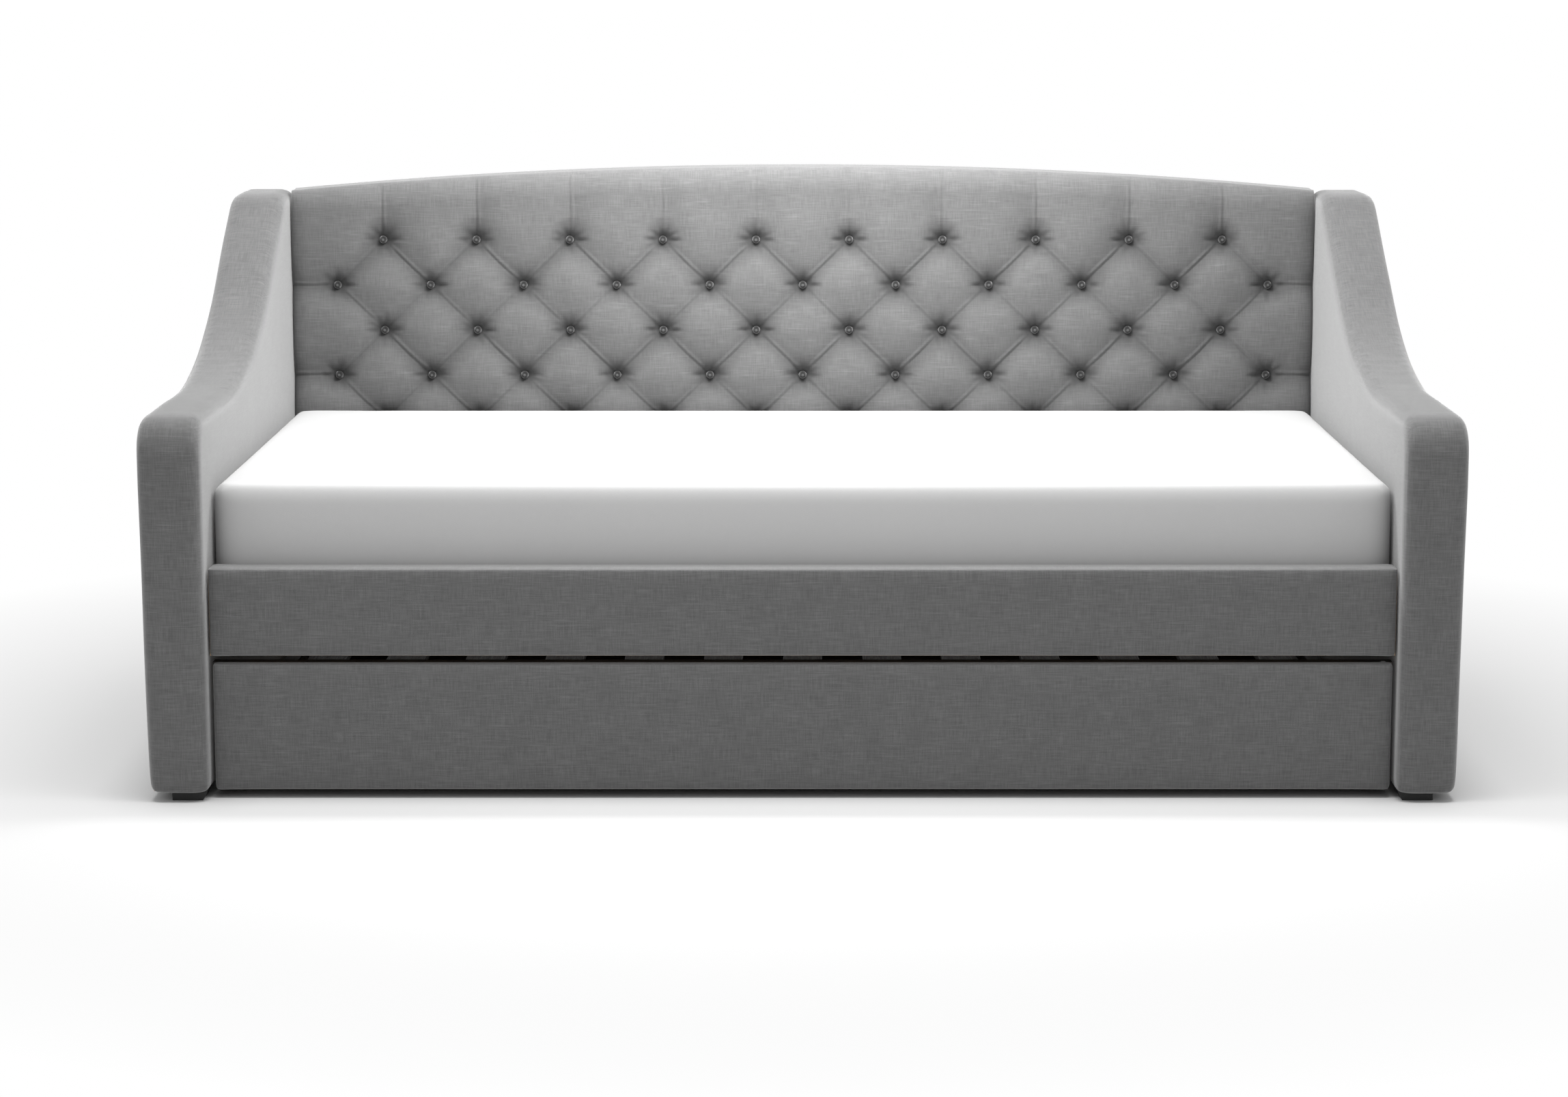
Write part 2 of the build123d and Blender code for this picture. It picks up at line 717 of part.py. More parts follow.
with BuildPart() as frame_bolts:
    for head_x, bolts in ((rail_bolt_x, rail_bolts), (back_bolt_x, back_bolts)):
        bolt = bolt_shape(nut_x + bolt_tip - head_x)
        place(bolt, [Location((head_x, y, z)) for y, z in bolts])
        place(bolt, [Location((-head_x, y, z), (0, 0, 180)) for y, z in bolts])
save(frame_bolts.part, "frame_bolts")

with BuildPart() as barrel_nuts:
    for side_x in (nut_x, -nut_x):
        place(nut.part, [Location((side_x, y, z)) for y, z in rail_bolts + back_bolts])
save(barrel_nuts.part, "barrel_nuts")

with BuildPart() as wood_screws:
    place(wood_screw, slat_screws + bracket_screws + hanger_screws + foot_screws)
save(wood_screws.part, "wood_screws")


# ---- Feet ---------------------------------------------------------------------------------------

with BuildPart() as foot:
    with BuildSketch(Plane.XZ):
        with BuildLine():
            Polyline(
                (-foot_length / 2, foot_height),
                (foot_length / 2, foot_height),
                (foot_length / 2, 0),
                (-foot_length / 2 + foot_taper, 0),
                close=True,
            )
        make_face()
    extrude(amount=foot_length / 2, both=True)
    fillet(foot.edges().filter_by(Axis.Z), foot_edge_radius)
    with Locations(*[(foot_screw_shift, step, 0) for step in (-foot_screw_step, foot_screw_step)]):
        Cylinder(
            2 * screw_radius + screw_head_gap,
            foot_screw_z,
            align=(Align.CENTER, Align.CENTER, Align.MIN),
            mode=Mode.SUBTRACT,
        )
        Cylinder(
            screw_radius + hole_gap,
            foot_height,
            align=(Align.CENTER, Align.CENTER, Align.MIN),
            mode=Mode.SUBTRACT,
        )
    place(
        wood_screw_hole,
        [
            Location((foot_screw_shift, step, foot_screw_z), (180, 0, 0))
            for step in (-foot_screw_step, foot_screw_step)
        ],
        Mode.SUBTRACT,
    )

for end, middle_y in (("front", -foot_middle_y), ("rear", foot_middle_y)):
    with BuildPart() as placed_foot:
        place(foot.part, [Location((foot_middle_x, middle_y, 0))])
    save_pair(placed_foot.part, "foot_" + end)


# ---- Mattress -----------------------------------------------------------------------------------

mattress_z = (deck_z + body_gap, deck_z + body_gap + mattress_height)


def mattress_form(inset, bottom):
    """The mattress's rounded block, inset on its sides and top."""
    with BuildPart() as form:
        block(
            (-mattress_length / 2 + inset, mattress_length / 2 - inset),
            (mattress_front_y + inset, mattress_rear_y - inset),
            (bottom, mattress_z[1] - inset),
        )
        fillet(form.edges().filter_by(Axis.Z), mattress_corner - inset)
        fillet(form.faces().sort_by(Axis.Z)[-1].edges(), mattress_edge - inset)
    return form.part


mattress_skin = mattress_form(0.0, mattress_z[0])
mattress_hollow = mattress_form(mattress_cover_thickness, mattress_z[0])
mattress_filling = mattress_form(
    mattress_cover_thickness + foam_gap, mattress_z[0] + mattress_cover_thickness
)

with BuildPart() as mattress_cover:
    add(mattress_skin)
    add(mattress_hollow, mode=Mode.SUBTRACT)
save(mattress_cover.part, "mattress_cover")

with BuildPart() as mattress_core:
    add(mattress_filling)
save(mattress_core.part, "mattress_core")

with BuildPart() as mattress_base:
    add(mattress_hollow)
    above_base = (mattress_z[0] + mattress_cover_thickness, mattress_z[1])
    block((-inner_half, inner_half), (front_y, rear_y), above_base, Mode.SUBTRACT)
save(mattress_base.part, "mattress_base")


# ---- Trundle ------------------------------------------------------------------------------------

trundle_half = inner_half - trundle_gap
trundle_top_z = rail_bottom_z - trundle_top_gap
trundle_front_y = (rail_front_y, rail_front_y + trundle_front_depth)


def trundle_front_form(inset, rear):
    """The trundle's rounded front panel, inset on every side but its rear."""
    with BuildPart() as form:
        block(
            (-trundle_half + inset, trundle_half - inset),
            (trundle_front_y[0] + inset, rear),
            (trundle_bottom_z + inset, trundle_top_z - inset),
        )
        front = form.faces().sort_by(Axis.Y)[0]
        fillet(front.edges(), trundle_edge_radius - inset)
    return form.part


trundle_skin = trundle_front_form(0.0, trundle_front_y[1])
trundle_hollow = trundle_front_form(cover, trundle_front_y[1] + past)
trundle_padding = trundle_front_form(cover + foam_gap, trundle_front_y[1])
trundle_board_rim = cover + foam_gap + frame_gap

with BuildPart() as trundle_front_cover:
    add(trundle_skin)
    add(trundle_hollow, mode=Mode.SUBTRACT)
save(trundle_front_cover.part, "trundle_front_cover")

with BuildPart() as trundle_front_board:
    block(
        (-trundle_half + trundle_board_rim, trundle_half - trundle_board_rim),
        (trundle_front_y[0] + frame_inset, trundle_front_y[1]),
        (trundle_bottom_z + trundle_board_rim, trundle_top_z - trundle_board_rim),
    )
save(trundle_front_board.part, "trundle_front_board")

with BuildPart() as trundle_front_foam:
    add(trundle_padding)
    behind = (trundle_front_y[0] + frame_inset, rear_y)
    block((-inner_half, inner_half), behind, (0, rail_top_z), Mode.SUBTRACT)
save(trundle_front_foam.part, "trundle_front_foam")

tray_half = inner_half - trundle_side_gap
tray_z = (trundle_rail_z, trundle_rail_z + trundle_rail_height)
front_rail_y = (trundle_front_y[1], trundle_front_y[1] + trundle_timber)
rear_rail_y = (trundle_rear_y - trundle_timber, trundle_rear_y)
trundle_side_slats = floor((tray_half - slat_width / 2) / trundle_slat_pitch)
trundle_slat_x = [
    index * trundle_slat_pitch for index in range(-trundle_side_slats, trundle_side_slats + 1)
]
trundle_deck_z = tray_z[1] + trundle_slat_thickness
trundle_screw = screw_shape(trundle_screw_length, 0.0)
trundle_screw_hole = screw_shape(trundle_screw_length, hole_gap)
trundle_slat_screws = [
    Location((x, sum(y) / 2, trundle_deck_z))
    for x in trundle_slat_x
    for y in (front_rail_y, rear_rail_y)
]

# Each bracket stands against the inner face of a side or the left face of the middle stretcher.
bracket_width = wheel_width + 2 * (wheel_side_gap + cheek)
wheel_seats = {
    "right": (tray_half - trundle_timber, 1),
    "middle": (-trundle_timber / 2, 1),
    "left": (-tray_half + trundle_timber, -1),
}
wheel_rows = {"front": front_rail_y[1] + wheel_inset, "rear": rear_rail_y[0] - wheel_inset}
wheel_places = {
    end + "_" + column: (seat - side * bracket_width / 2, y)
    for end, y in wheel_rows.items()
    for column, (seat, side) in wheel_seats.items()
}
wheel_bracket_top_z = 2 * wheel_radius + bracket_above_wheel
wheel_screw_step = cheek_width / 2 - wheel_screw_edge
wheel_screws = [
    Location((seat - side * cheek, y + step, wheel_bracket_top_z - wheel_screw_drop), (0, -90 * side, 0))
    for y in wheel_rows.values()
    for seat, side in wheel_seats.values()
    for step in (-wheel_screw_step, wheel_screw_step)
]

with BuildPart() as trundle_front_rail:
    block((-tray_half, tray_half), front_rail_y, tray_z)
    place(trundle_screw_hole, trundle_slat_screws, Mode.SUBTRACT)
save(trundle_front_rail.part, "trundle_front_rail")

with BuildPart() as trundle_rear_rail:
    block((-tray_half, tray_half), rear_rail_y, (tray_z[0] - trundle_rear_drop, tray_z[1]))
    place(trundle_screw_hole, trundle_slat_screws, Mode.SUBTRACT)
save(trundle_rear_rail.part, "trundle_rear_rail")

with BuildPart() as trundle_side:
    block((tray_half - trundle_timber, tray_half), (front_rail_y[1], rear_rail_y[0]), tray_z)
    place(trundle_screw_hole, wheel_screws, Mode.SUBTRACT)
save_pair(trundle_side.part, "trundle_side")

with BuildPart() as trundle_stretcher:
    stretcher_y = (front_rail_y[1], rear_rail_y[0])
    block((-trundle_timber / 2, trundle_timber / 2), stretcher_y, tray_z)
    place(trundle_screw_hole, wheel_screws, Mode.SUBTRACT)
save(trundle_stretcher.part, "trundle_stretcher")

with BuildPart() as trundle_slats:
    for x in trundle_slat_x:
        block(
            (x - slat_width / 2, x + slat_width / 2),
            (front_rail_y[0] + trundle_slat_inset, trundle_rear_y - trundle_slat_inset),
            (tray_z[1], trundle_deck_z),
        )
    fillet(trundle_slats.edges().filter_by(Axis.Y), slat_edge_radius)
    place(trundle_screw_hole, trundle_slat_screws, Mode.SUBTRACT)
save(trundle_slats.part, "trundle_slats")

with BuildPart() as trundle_screws:
    place(trundle_screw, trundle_slat_screws + wheel_screws)
save(trundle_screws.part, "trundle_screws")


# ---- Wheels -------------------------------------------------------------------------------------

with BuildPart() as wheel_bracket:
    wide = (-bracket_width / 2, bracket_width / 2)
    long = (-cheek_width / 2, cheek_width / 2)
    block(wide, long, (wheel_radius - bracket_below_axle, wheel_bracket_top_z))
    inside = (-bracket_width / 2 + cheek, bracket_width / 2 - cheek)
    block(inside, (-cheek_width, cheek_width), (0, wheel_bracket_top_z - cheek), Mode.SUBTRACT)
    drill_x([(0, wheel_radius)], axle_radius + hole_gap, (-bracket_width, bracket_width))

with BuildPart() as wheel_brackets:
    place(wheel_bracket.part, [Location((x, y, 0)) for x, y in wheel_places.values()])
    place(trundle_screw_hole, wheel_screws, Mode.SUBTRACT)
save(wheel_brackets.part, "wheel_brackets")

# An axle's head is on the bracket's open side, and its other end stops at the timber.
with BuildPart() as axle:
    with Locations((0, 0, wheel_radius)):
        Cylinder(axle_radius, bracket_width, rotation=(0, 90, 0))
    with Locations((-bracket_width / 2 - axle_head / 2, 0, wheel_radius)):
        Cylinder(axle_radius + axle_head, axle_head, rotation=(0, 90, 0))

with BuildPart() as wheel_axles:
    for column, (x, y) in wheel_places.items():
        turn = 180 if column.endswith("left") else 0
        place(axle.part, [Location((x, y, 0), (0, 0, turn))])
save(wheel_axles.part, "wheel_axles")

with BuildPart() as wheel:
    with BuildSketch(Plane.YZ.offset(-wheel_width / 2)):
        with Locations((0, wheel_radius)):
            Circle(wheel_radius)
            Circle(axle_radius + axle_gap, mode=Mode.SUBTRACT)
    extrude(amount=wheel_width)
    circles = wheel.edges().filter_by(GeomType.CIRCLE)
    fillet(circles.filter_by(lambda edge: edge.radius > axle_radius + hub_wall), wheel_edge_radius)
    for face_x, inward in ((wheel_width / 2, -1), (-wheel_width / 2, 1)):
        with BuildSketch(Plane.YZ.offset(face_x)):
            with Locations((0, wheel_radius)):
                Circle(wheel_radius - wheel_rim)
                Circle(axle_radius + hub_wall, mode=Mode.SUBTRACT)
        extrude(amount=inward * wheel_recess, mode=Mode.SUBTRACT)

for name, (x, y) in wheel_places.items():
    with BuildPart() as placed_wheel:
        place(wheel.part, [Location((x, y, 0))])
    save(placed_wheel.part, "wheel_" + name)
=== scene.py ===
from math import pi, radians, sqrt

import bmesh
import bpy
import numpy as np
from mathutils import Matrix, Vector


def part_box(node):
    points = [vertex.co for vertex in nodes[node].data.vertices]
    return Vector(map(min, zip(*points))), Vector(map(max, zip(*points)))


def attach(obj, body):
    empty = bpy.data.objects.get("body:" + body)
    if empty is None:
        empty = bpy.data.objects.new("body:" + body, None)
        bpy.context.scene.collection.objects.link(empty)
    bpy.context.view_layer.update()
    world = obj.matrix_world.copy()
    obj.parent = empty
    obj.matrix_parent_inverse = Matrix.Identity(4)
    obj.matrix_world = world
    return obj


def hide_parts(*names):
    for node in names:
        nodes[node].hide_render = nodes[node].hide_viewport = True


# Trundle bed: the looks of an upholstered daybed with a button-tufted back, in metres.

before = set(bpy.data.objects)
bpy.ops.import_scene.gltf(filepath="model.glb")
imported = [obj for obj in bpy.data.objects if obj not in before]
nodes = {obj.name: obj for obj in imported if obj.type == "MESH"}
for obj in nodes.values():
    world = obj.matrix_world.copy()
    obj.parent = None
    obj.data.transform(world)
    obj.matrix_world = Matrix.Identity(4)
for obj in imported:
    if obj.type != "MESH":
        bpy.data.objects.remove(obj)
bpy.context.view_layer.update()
scene = bpy.context.scene
MM = 0.001


# ---- Measures read from the frame ---------------------------------------------------------------

back_low, back_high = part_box("back_cover")
arm_low, arm_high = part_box("arm_cover_right")
button_low, button_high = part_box("tuft_buttons")
rear_low, rear_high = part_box("back_rear_cover")
slat_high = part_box("slats")[1]


def vectors(mesh, key="co"):
    """A mesh's vertex positions, or its vertex normals, as an array."""
    values = np.empty(len(mesh.vertices) * 3)
    mesh.vertices.foreach_get(key, values)
    return values.reshape(-1, 3)


# ---- Shader helpers -----------------------------------------------------------------------------

class Shader:
    """A material whose nodes are added one call at a time; each call returns an output socket."""

    def __init__(self, name, **settings):
        self.material = bpy.data.materials.new(name)
        self.material.use_nodes = True
        self.tree = self.material.node_tree
        self.surface = self.tree.nodes["Principled BSDF"]
        for socket, value in settings.items():
            self.surface.inputs[socket.replace("_", " ")].default_value = value
        self.coordinates = self.tree.nodes.new("ShaderNodeTexCoord")
        self.position = self.coordinates.outputs["Object"]
        self.normal = self.coordinates.outputs["Normal"]

    def add(self, kind, inputs, output=0, **properties):
        node = self.tree.nodes.new("ShaderNode" + kind)
        for name, value in properties.items():
            setattr(node, name, value)
        for name, value in inputs.items():
            if isinstance(value, bpy.types.NodeSocket):
                self.tree.links.new(value, node.inputs[name])
            else:
                node.inputs[name].default_value = value
        return node.outputs[output]

    def math(self, operation, a, b=0.0, c=0.0):
        return self.add("Math", {0: a, 1: b, 2: c}, operation=operation)

    def split(self, vector):
        node = self.tree.nodes.new("ShaderNodeSeparateXYZ")
        self.tree.links.new(vector, node.inputs[0])
        return node.outputs

    def join(self, x, y, z=0.0):
        return self.add("CombineXYZ", {0: x, 1: y, 2: z})

    def stretched(self, scale):
        """The object's position with each axis scaled, for grain and threads."""
        return self.add("Mapping", {"Vector": self.position, "Scale": scale})

    def noise(self, vector, scale=1.0, detail=3.0, roughness=0.55):
        inputs = {"Vector": vector, "Scale": scale, "Detail": detail, "Roughness": roughness}
        return self.add("TexNoise", inputs)

    def streaks(self, along, up, scales, layer=0.0, detail=3.0):
        """Noise drawn out into threads; scales are its waves per metre along the face and up it."""
        x = self.math("MULTIPLY", along, scales[0])
        y = self.math("MULTIPLY", up, scales[1])
        return self.noise(self.join(x, y, layer), detail=detail)

    def wave(self, value, length):
        return self.math("SINE", self.math("MULTIPLY", value, 2 * pi / length))

    def remap(self, value, low, high, to_low=0.0, to_high=1.0):
        inputs = {0: value, 1: low, 2: high, 3: to_low, 4: to_high}
        return self.add("MapRange", inputs)

    def mix(self, factor, a, b, blend="MIX"):
        inputs = {0: factor, 6: colour(a), 7: colour(b)}
        return self.add("Mix", inputs, output=2, data_type="RGBA", blend_type=blend)

    def bump(self, height, strength, distance):
        inputs = {"Height": height, "Strength": strength, "Distance": distance}
        self.link(self.add("Bump", inputs), "Normal")

    def link(self, socket, name):
        self.tree.links.new(socket, self.surface.inputs[name])

    def plane(self):
        """Coordinates within the face that a point's normal is nearest to: along it, and up it."""
        x, y, z = self.split(self.position)
        facing = [self.math("ABSOLUTE", side) for side in self.split(self.normal)]
        to_side = self.math("GREATER_THAN", facing[0], self.math("MAXIMUM", facing[1], facing[2]))
        to_top = self.math("GREATER_THAN", facing[2], self.math("MAXIMUM", facing[0], facing[1]))
        along = self.math("ADD", x, self.math("MULTIPLY", to_side, self.math("SUBTRACT", y, x)))
        up = self.math("ADD", z, self.math("MULTIPLY", to_top, self.math("SUBTRACT", y, z)))
        return along, up


def colour(value):
    """A colour for a socket: a grey level, three channels, or a socket as it is."""
    if isinstance(value, bpy.types.NodeSocket):
        return value
    if isinstance(value, (int, float)):
        value = (value, value, value)
    return (*value, 1.0)


# ---- Materials ----------------------------------------------------------------------------------

SHEEN = 0.55
THREAD_PITCH = 1.1 * MM
WARP, WEFT, SLUBS = (520.0, 34.0), (30.0, 520.0), (17.0, 260.0)
RIB_PITCH, LOOP_PITCH = 2.4 * MM, 1.8 * MM
TWILL_PITCH, TWILL_TURN = 2.0 * MM, 3.0 * MM
PLY = 1.5 * MM
ALONG_GRAIN, ALONG_PLY_GRAIN = 1.6, 2.2     # waves per metre along the wood's grain
PLY_GRAIN = 38.0                            # and across a plywood face


def linen(name, level, contrast, hollows=None, rim=False):
    """Heathered upholstery fabric: light and dark threads both ways, slubs and a soft mottle.

    hollows gives the y where painted shade begins in a tufted face's pits, the y of their bottoms,
    where it is darkest, and the height above which none is painted. rim paints shade on what
    doesn't face forwards, as on a sunk button.
    """
    shader = Shader(
        name, Roughness=0.92, Sheen_Weight=SHEEN, Sheen_Roughness=0.45, Specular_IOR_Level=0.15
    )
    along, up = shader.plane()
    warp = shader.streaks(along, up, WARP)
    weft = shader.streaks(along, up, WEFT, layer=4.0)
    slubs = shader.streaks(along, up, SLUBS, layer=9.0, detail=1.0)
    mottle = shader.noise(shader.position, scale=26.0, detail=4.0)
    threads = shader.math("ADD", warp, weft)
    base = shader.mix(
        shader.remap(threads, 0.75, 1.25), level * (1 - contrast), level * (1 + contrast)
    )
    base = shader.mix(shader.remap(slubs, 0.58, 0.76, 0.0, 0.20), base, level * 1.9)
    base = shader.mix(shader.remap(mottle, 0.3, 0.7, 0.0, 0.22), base, level * 0.62)
    # painted shade: the base colour darkens with depth into the pits, below the given height, for
    # the shade that falls in them
    if hollows:
        begin, bottom, limit = hollows
        _, depth, height = shader.split(shader.position)
        below = shader.math("LESS_THAN", height, limit)
        shade = shader.math("MULTIPLY", shader.remap(depth, begin, bottom, 0.0, 0.8), below)
        base = shader.mix(shade, base, level * 0.25)
    # painted shade: the base colour darkens where the surface turns away from the front, for the
    # shade round a sunk button
    if rim:
        forwards = shader.math("MULTIPLY", shader.split(shader.normal)[1], -1.0)
        base = shader.mix(shader.remap(forwards, 0.78, 0.97), level * 0.12, base)
    shader.link(base, "Base Color")
    over = shader.wave(along, 2 * THREAD_PITCH)
    under = shader.wave(up, 2 * THREAD_PITCH)
    weave = shader.math("MULTIPLY", shader.math("MULTIPLY", over, under), 0.30)
    shader.bump(shader.math("ADD", weave, shader.math("MULTIPLY", threads, 0.55)), 0.45, 0.5 * MM)
    return shader.material


def knit(name, level):
    """White knitted mattress cover: fine ribs and a faint unevenness."""
    shader = Shader(
        name, Roughness=0.85, Sheen_Weight=0.15, Sheen_Roughness=0.5, Specular_IOR_Level=0.2
    )
    along, up = shader.plane()
    ribs = shader.wave(along, RIB_PITCH)
    loops = shader.wave(up, LOOP_PITCH)
    cloud = shader.noise(shader.position, scale=9.0, detail=4.0)
    fibres = shader.noise(shader.position, scale=700.0, detail=2.0)
    base = shader.mix(shader.remap(cloud, 0.3, 0.7), level * 0.985, level)
    base = shader.mix(shader.remap(fibres, 0.35, 0.65, 0.0, 0.05), base, level * 0.8)
    shader.link(base, "Base Color")
    height = shader.math("ADD", shader.math("MULTIPLY", ribs, loops), fibres)
    shader.bump(height, 0.2, 0.3 * MM)
    return shader.material


def timber(name, light, dark, axis, ring=0.020):
    """Planed wood with rings, ring metres apart, and pores running along one axis."""
    shader = Shader(name, Roughness=0.6)
    scale = [1.0 / ring] * 3
    scale[axis] = ALONG_GRAIN
    warped = shader.noise(shader.stretched([s * 0.35 for s in scale]), detail=2.0)
    grain = shader.noise(shader.stretched(scale), detail=5.0, roughness=0.62)
    rings = shader.math("FRACT", shader.math("MULTIPLY", shader.math("ADD", grain, warped), 5.0))
    pores = shader.noise(shader.stretched([s * 14 for s in scale]), detail=2.0)
    base = shader.mix(shader.remap(rings, 0.1, 0.95), light, dark)
    base = shader.mix(shader.remap(pores, 0.5, 0.72, 0.0, 0.35), base, [c * 0.6 for c in dark])
    shader.link(base, "Base Color")
    shader.link(shader.remap(pores, 0.3, 0.7, 0.50, 0.72), "Roughness")
    shader.bump(shader.math("ADD", pores, shader.math("MULTIPLY", rings, 0.4)), 0.25, 0.4 * MM)
    return shader.material


def plywood(name, light, dark, thickness_axis, grain_axis):
    """Sanded plywood: a rotary-cut face, and plies that show on its edges."""
    shader = Shader(name, Roughness=0.7)
    scale = [PLY_GRAIN] * 3
    scale[grain_axis] = ALONG_PLY_GRAIN
    face = shader.noise(shader.stretched(scale), detail=5.0, roughness=0.6)
    depth = shader.split(shader.position)[thickness_axis]
    plies = shader.math("PINGPONG", depth, PLY)
    facing = shader.math("ABSOLUTE", shader.split(shader.normal)[thickness_axis])
    on_edge = shader.math("LESS_THAN", facing, 0.7)
    face_tone = shader.mix(shader.remap(face, 0.3, 0.7), light, dark)
    edge_tone = shader.mix(shader.remap(plies, 0.0, PLY), [c * 0.5 for c in dark], light)
    shader.link(shader.mix(on_edge, face_tone, edge_tone), "Base Color")
    shader.link(shader.remap(face, 0.3, 0.7, 0.6, 0.78), "Roughness")
    shader.bump(face, 0.15, 0.4 * MM)
    return shader.material


def moulded(name, level, roughness):
    """Moulded plastic with a fine spark texture and faint scuffs."""
    shader = Shader(name, Specular_IOR_Level=0.4)
    grain = shader.noise(shader.position, scale=900.0, detail=2.0)
    scuffs = shader.noise(shader.position, scale=55.0, detail=6.0, roughness=0.7)
    base = shader.mix(shader.remap(scuffs, 0.45, 0.75, 0.0, 0.6), level, level * 2.2 + 0.01)
    shader.link(base, "Base Color")
    shader.link(shader.remap(scuffs, 0.35, 0.7, roughness, roughness + 0.2), "Roughness")
    shader.bump(grain, 0.2, 0.15 * MM)
    return shader.material


def metal(name, tone, roughness, coated):
    """Zinc-plated or powder-coated steel, with spangle or orange peel and dulled patches."""
    shader = Shader(name, Metallic=0.0 if coated else 1.0)
    peel = shader.noise(shader.position, scale=420.0, detail=3.0)
    patches = shader.noise(shader.position, scale=38.0, detail=5.0, roughness=0.65)
    base = shader.mix(shader.remap(patches, 0.3, 0.7), [c * 0.8 for c in tone], tone)
    shader.link(base, "Base Color")
    shader.link(shader.remap(patches, 0.3, 0.7, roughness, roughness + 0.18), "Roughness")
    shader.bump(peel, 0.2, 0.15 * MM)
    return shader.material


def webbing(name):
    """Black woven webbing with a herringbone twill."""
    shader = Shader(name, Roughness=0.8, Sheen_Weight=0.2)
    x, y, _ = shader.split(shader.position)
    zigzag = shader.math("PINGPONG", y, TWILL_TURN)
    twill = shader.wave(shader.math("ADD", x, zigzag), TWILL_PITCH)
    fibres = shader.noise(shader.position, scale=900.0)
    base = shader.mix(shader.remap(twill, -1.0, 1.0), 0.018, 0.05)
    shader.link(shader.mix(shader.remap(fibres, 0.4, 0.7, 0.0, 0.3), base, 0.09), "Base Color")
    shader.bump(twill, 0.5, 0.5 * MM)
    return shader.material


def paint(piece, material):
    """Give a piece or a CAD node one material."""
    for slot in piece.material_slots:
        slot.material = material
    if not piece.material_slots:
        piece.data.materials.append(material)


PINE = (0.62, 0.43, 0.24), (0.42, 0.25, 0.11)            # light and dark tones of each wood
SLAT_WOOD = (0.70, 0.52, 0.31), (0.52, 0.35, 0.18)
# near-black trundle wood: a dark stain, and painted shade that makes the wood seen through the gaps
# under the front rail read as shade
STAIN_AND_GAP_SHADE = (0.036, 0.031, 0.027), (0.018, 0.015, 0.013)
PLYWOOD = (0.56, 0.38, 0.20), (0.40, 0.24, 0.11)
# where painted shade begins in the back's pits, where it is darkest, and the height above which
# none is painted
PIT_BEGIN, PIT_BOTTOM, PIT_LIMIT = 7 * MM, 21 * MM, 30 * MM

upholstery = linen("upholstery_linen", 0.122, 0.19)
# the tufted back's linen, with painted shade in its pits
pits = (back_low[1] + PIT_BEGIN, back_low[1] + PIT_BOTTOM, button_high[2] + PIT_LIMIT)
tufted = linen("tufted_linen_pit_shade", 0.135, 0.15, pits)
# a darker copy of the linen, with painted rim shade: painted shade on the sunk buttons
button_linen_painted_shade = linen("button_linen_painted_shade", 0.085, 0.2, rim=True)
rear_linen = linen("rear_linen", 0.12, 0.12)
mattress_knit = knit("mattress_knit", 0.49)
pine = [timber(f"pine_{'xyz'[axis]}", *PINE, axis) for axis in range(3)]
slat_wood = timber("slat_wood", *SLAT_WOOD, 1, ring=0.026)
stain_and_gap_shade = [timber(f"stained_{'xyz'[axis]}", *STAIN_AND_GAP_SHADE, axis) for axis in range(2)]
side_ply = plywood("side_plywood", *PLYWOOD, 0, 2)
front_ply = plywood("front_plywood", *PLYWOOD, 1, 0)
foot_black = moulded("foot_black", 0.012, 0.5)
wheel_black = moulded("wheel_black", 0.02, 0.4)
nylon = moulded("nylon_white", 0.5, 0.45)
powder_coat = metal("powder_coat", (0.03, 0.03, 0.032), 0.45, True)
zinc = metal("zinc_plate", (0.62, 0.63, 0.62), 0.28, False)
black_webbing = webbing("black_webbing")

CAD_LOOKS = (                        # material, and how the names of its CAD nodes begin
    (side_ply, "arm_inner_panel", "arm_outer_panel"),
    (front_ply, "back_board"),
    (pine[0], "back_top_rail", "back_bottom_rail", "front_rail_beam", "front_cleat"),
    (pine[0], "rear_slat_rail", "centre_beam"),
    (pine[1], "arm_rails"),
    (pine[2], "arm_posts", "back_stiles"),
    (slat_wood, "slats"),
    # the trundle's wood: dark stain and painted shade for the gaps under the front rail
    (stain_and_gap_shade[0], "trundle_front_board", "trundle_front_rail", "trundle_rear_rail"),
    (stain_and_gap_shade[1], "trundle_side", "trundle_stretcher", "trundle_slats"),
    (nylon, "tuft_ties"),
    (powder_coat, "beam_hangers", "rail_brackets", "wheel_brackets"),
    (zinc, "frame_bolts", "barrel_nuts", "wood_screws", "trundle_screws", "wheel_axles"),
    (foot_black, "foot_"),
    (wheel_black, "wheel_front", "wheel_rear"),
)
for name, node in nodes.items():
    for look, *beginnings in CAD_LOOKS:
        if name.startswith(tuple(beginnings)):
            paint(node, look)


# ---- Mesh helpers -------------------------------------------------------------------------------

def piece_from(name, points, faces, material, smooth_angle=None):
    """A new piece with outward normals, linked to the scene and smooth shaded."""
    mesh = bpy.data.meshes.new(name)
    mesh.from_pydata(np.asarray(points).reshape(-1, 3).tolist(), [], faces)
    mesh.validate()
    shell = bmesh.new()
    shell.from_mesh(mesh)
    bmesh.ops.recalc_face_normals(shell, faces=shell.faces)
    shell.to_mesh(mesh)
    shell.free()
    mesh.shade_smooth()
    if smooth_angle:
        mesh.set_sharp_from_angle(angle=radians(smooth_angle))
    piece = bpy.data.objects.new(name, mesh)
    scene.collection.objects.link(piece)
    paint(piece, material)
    return piece


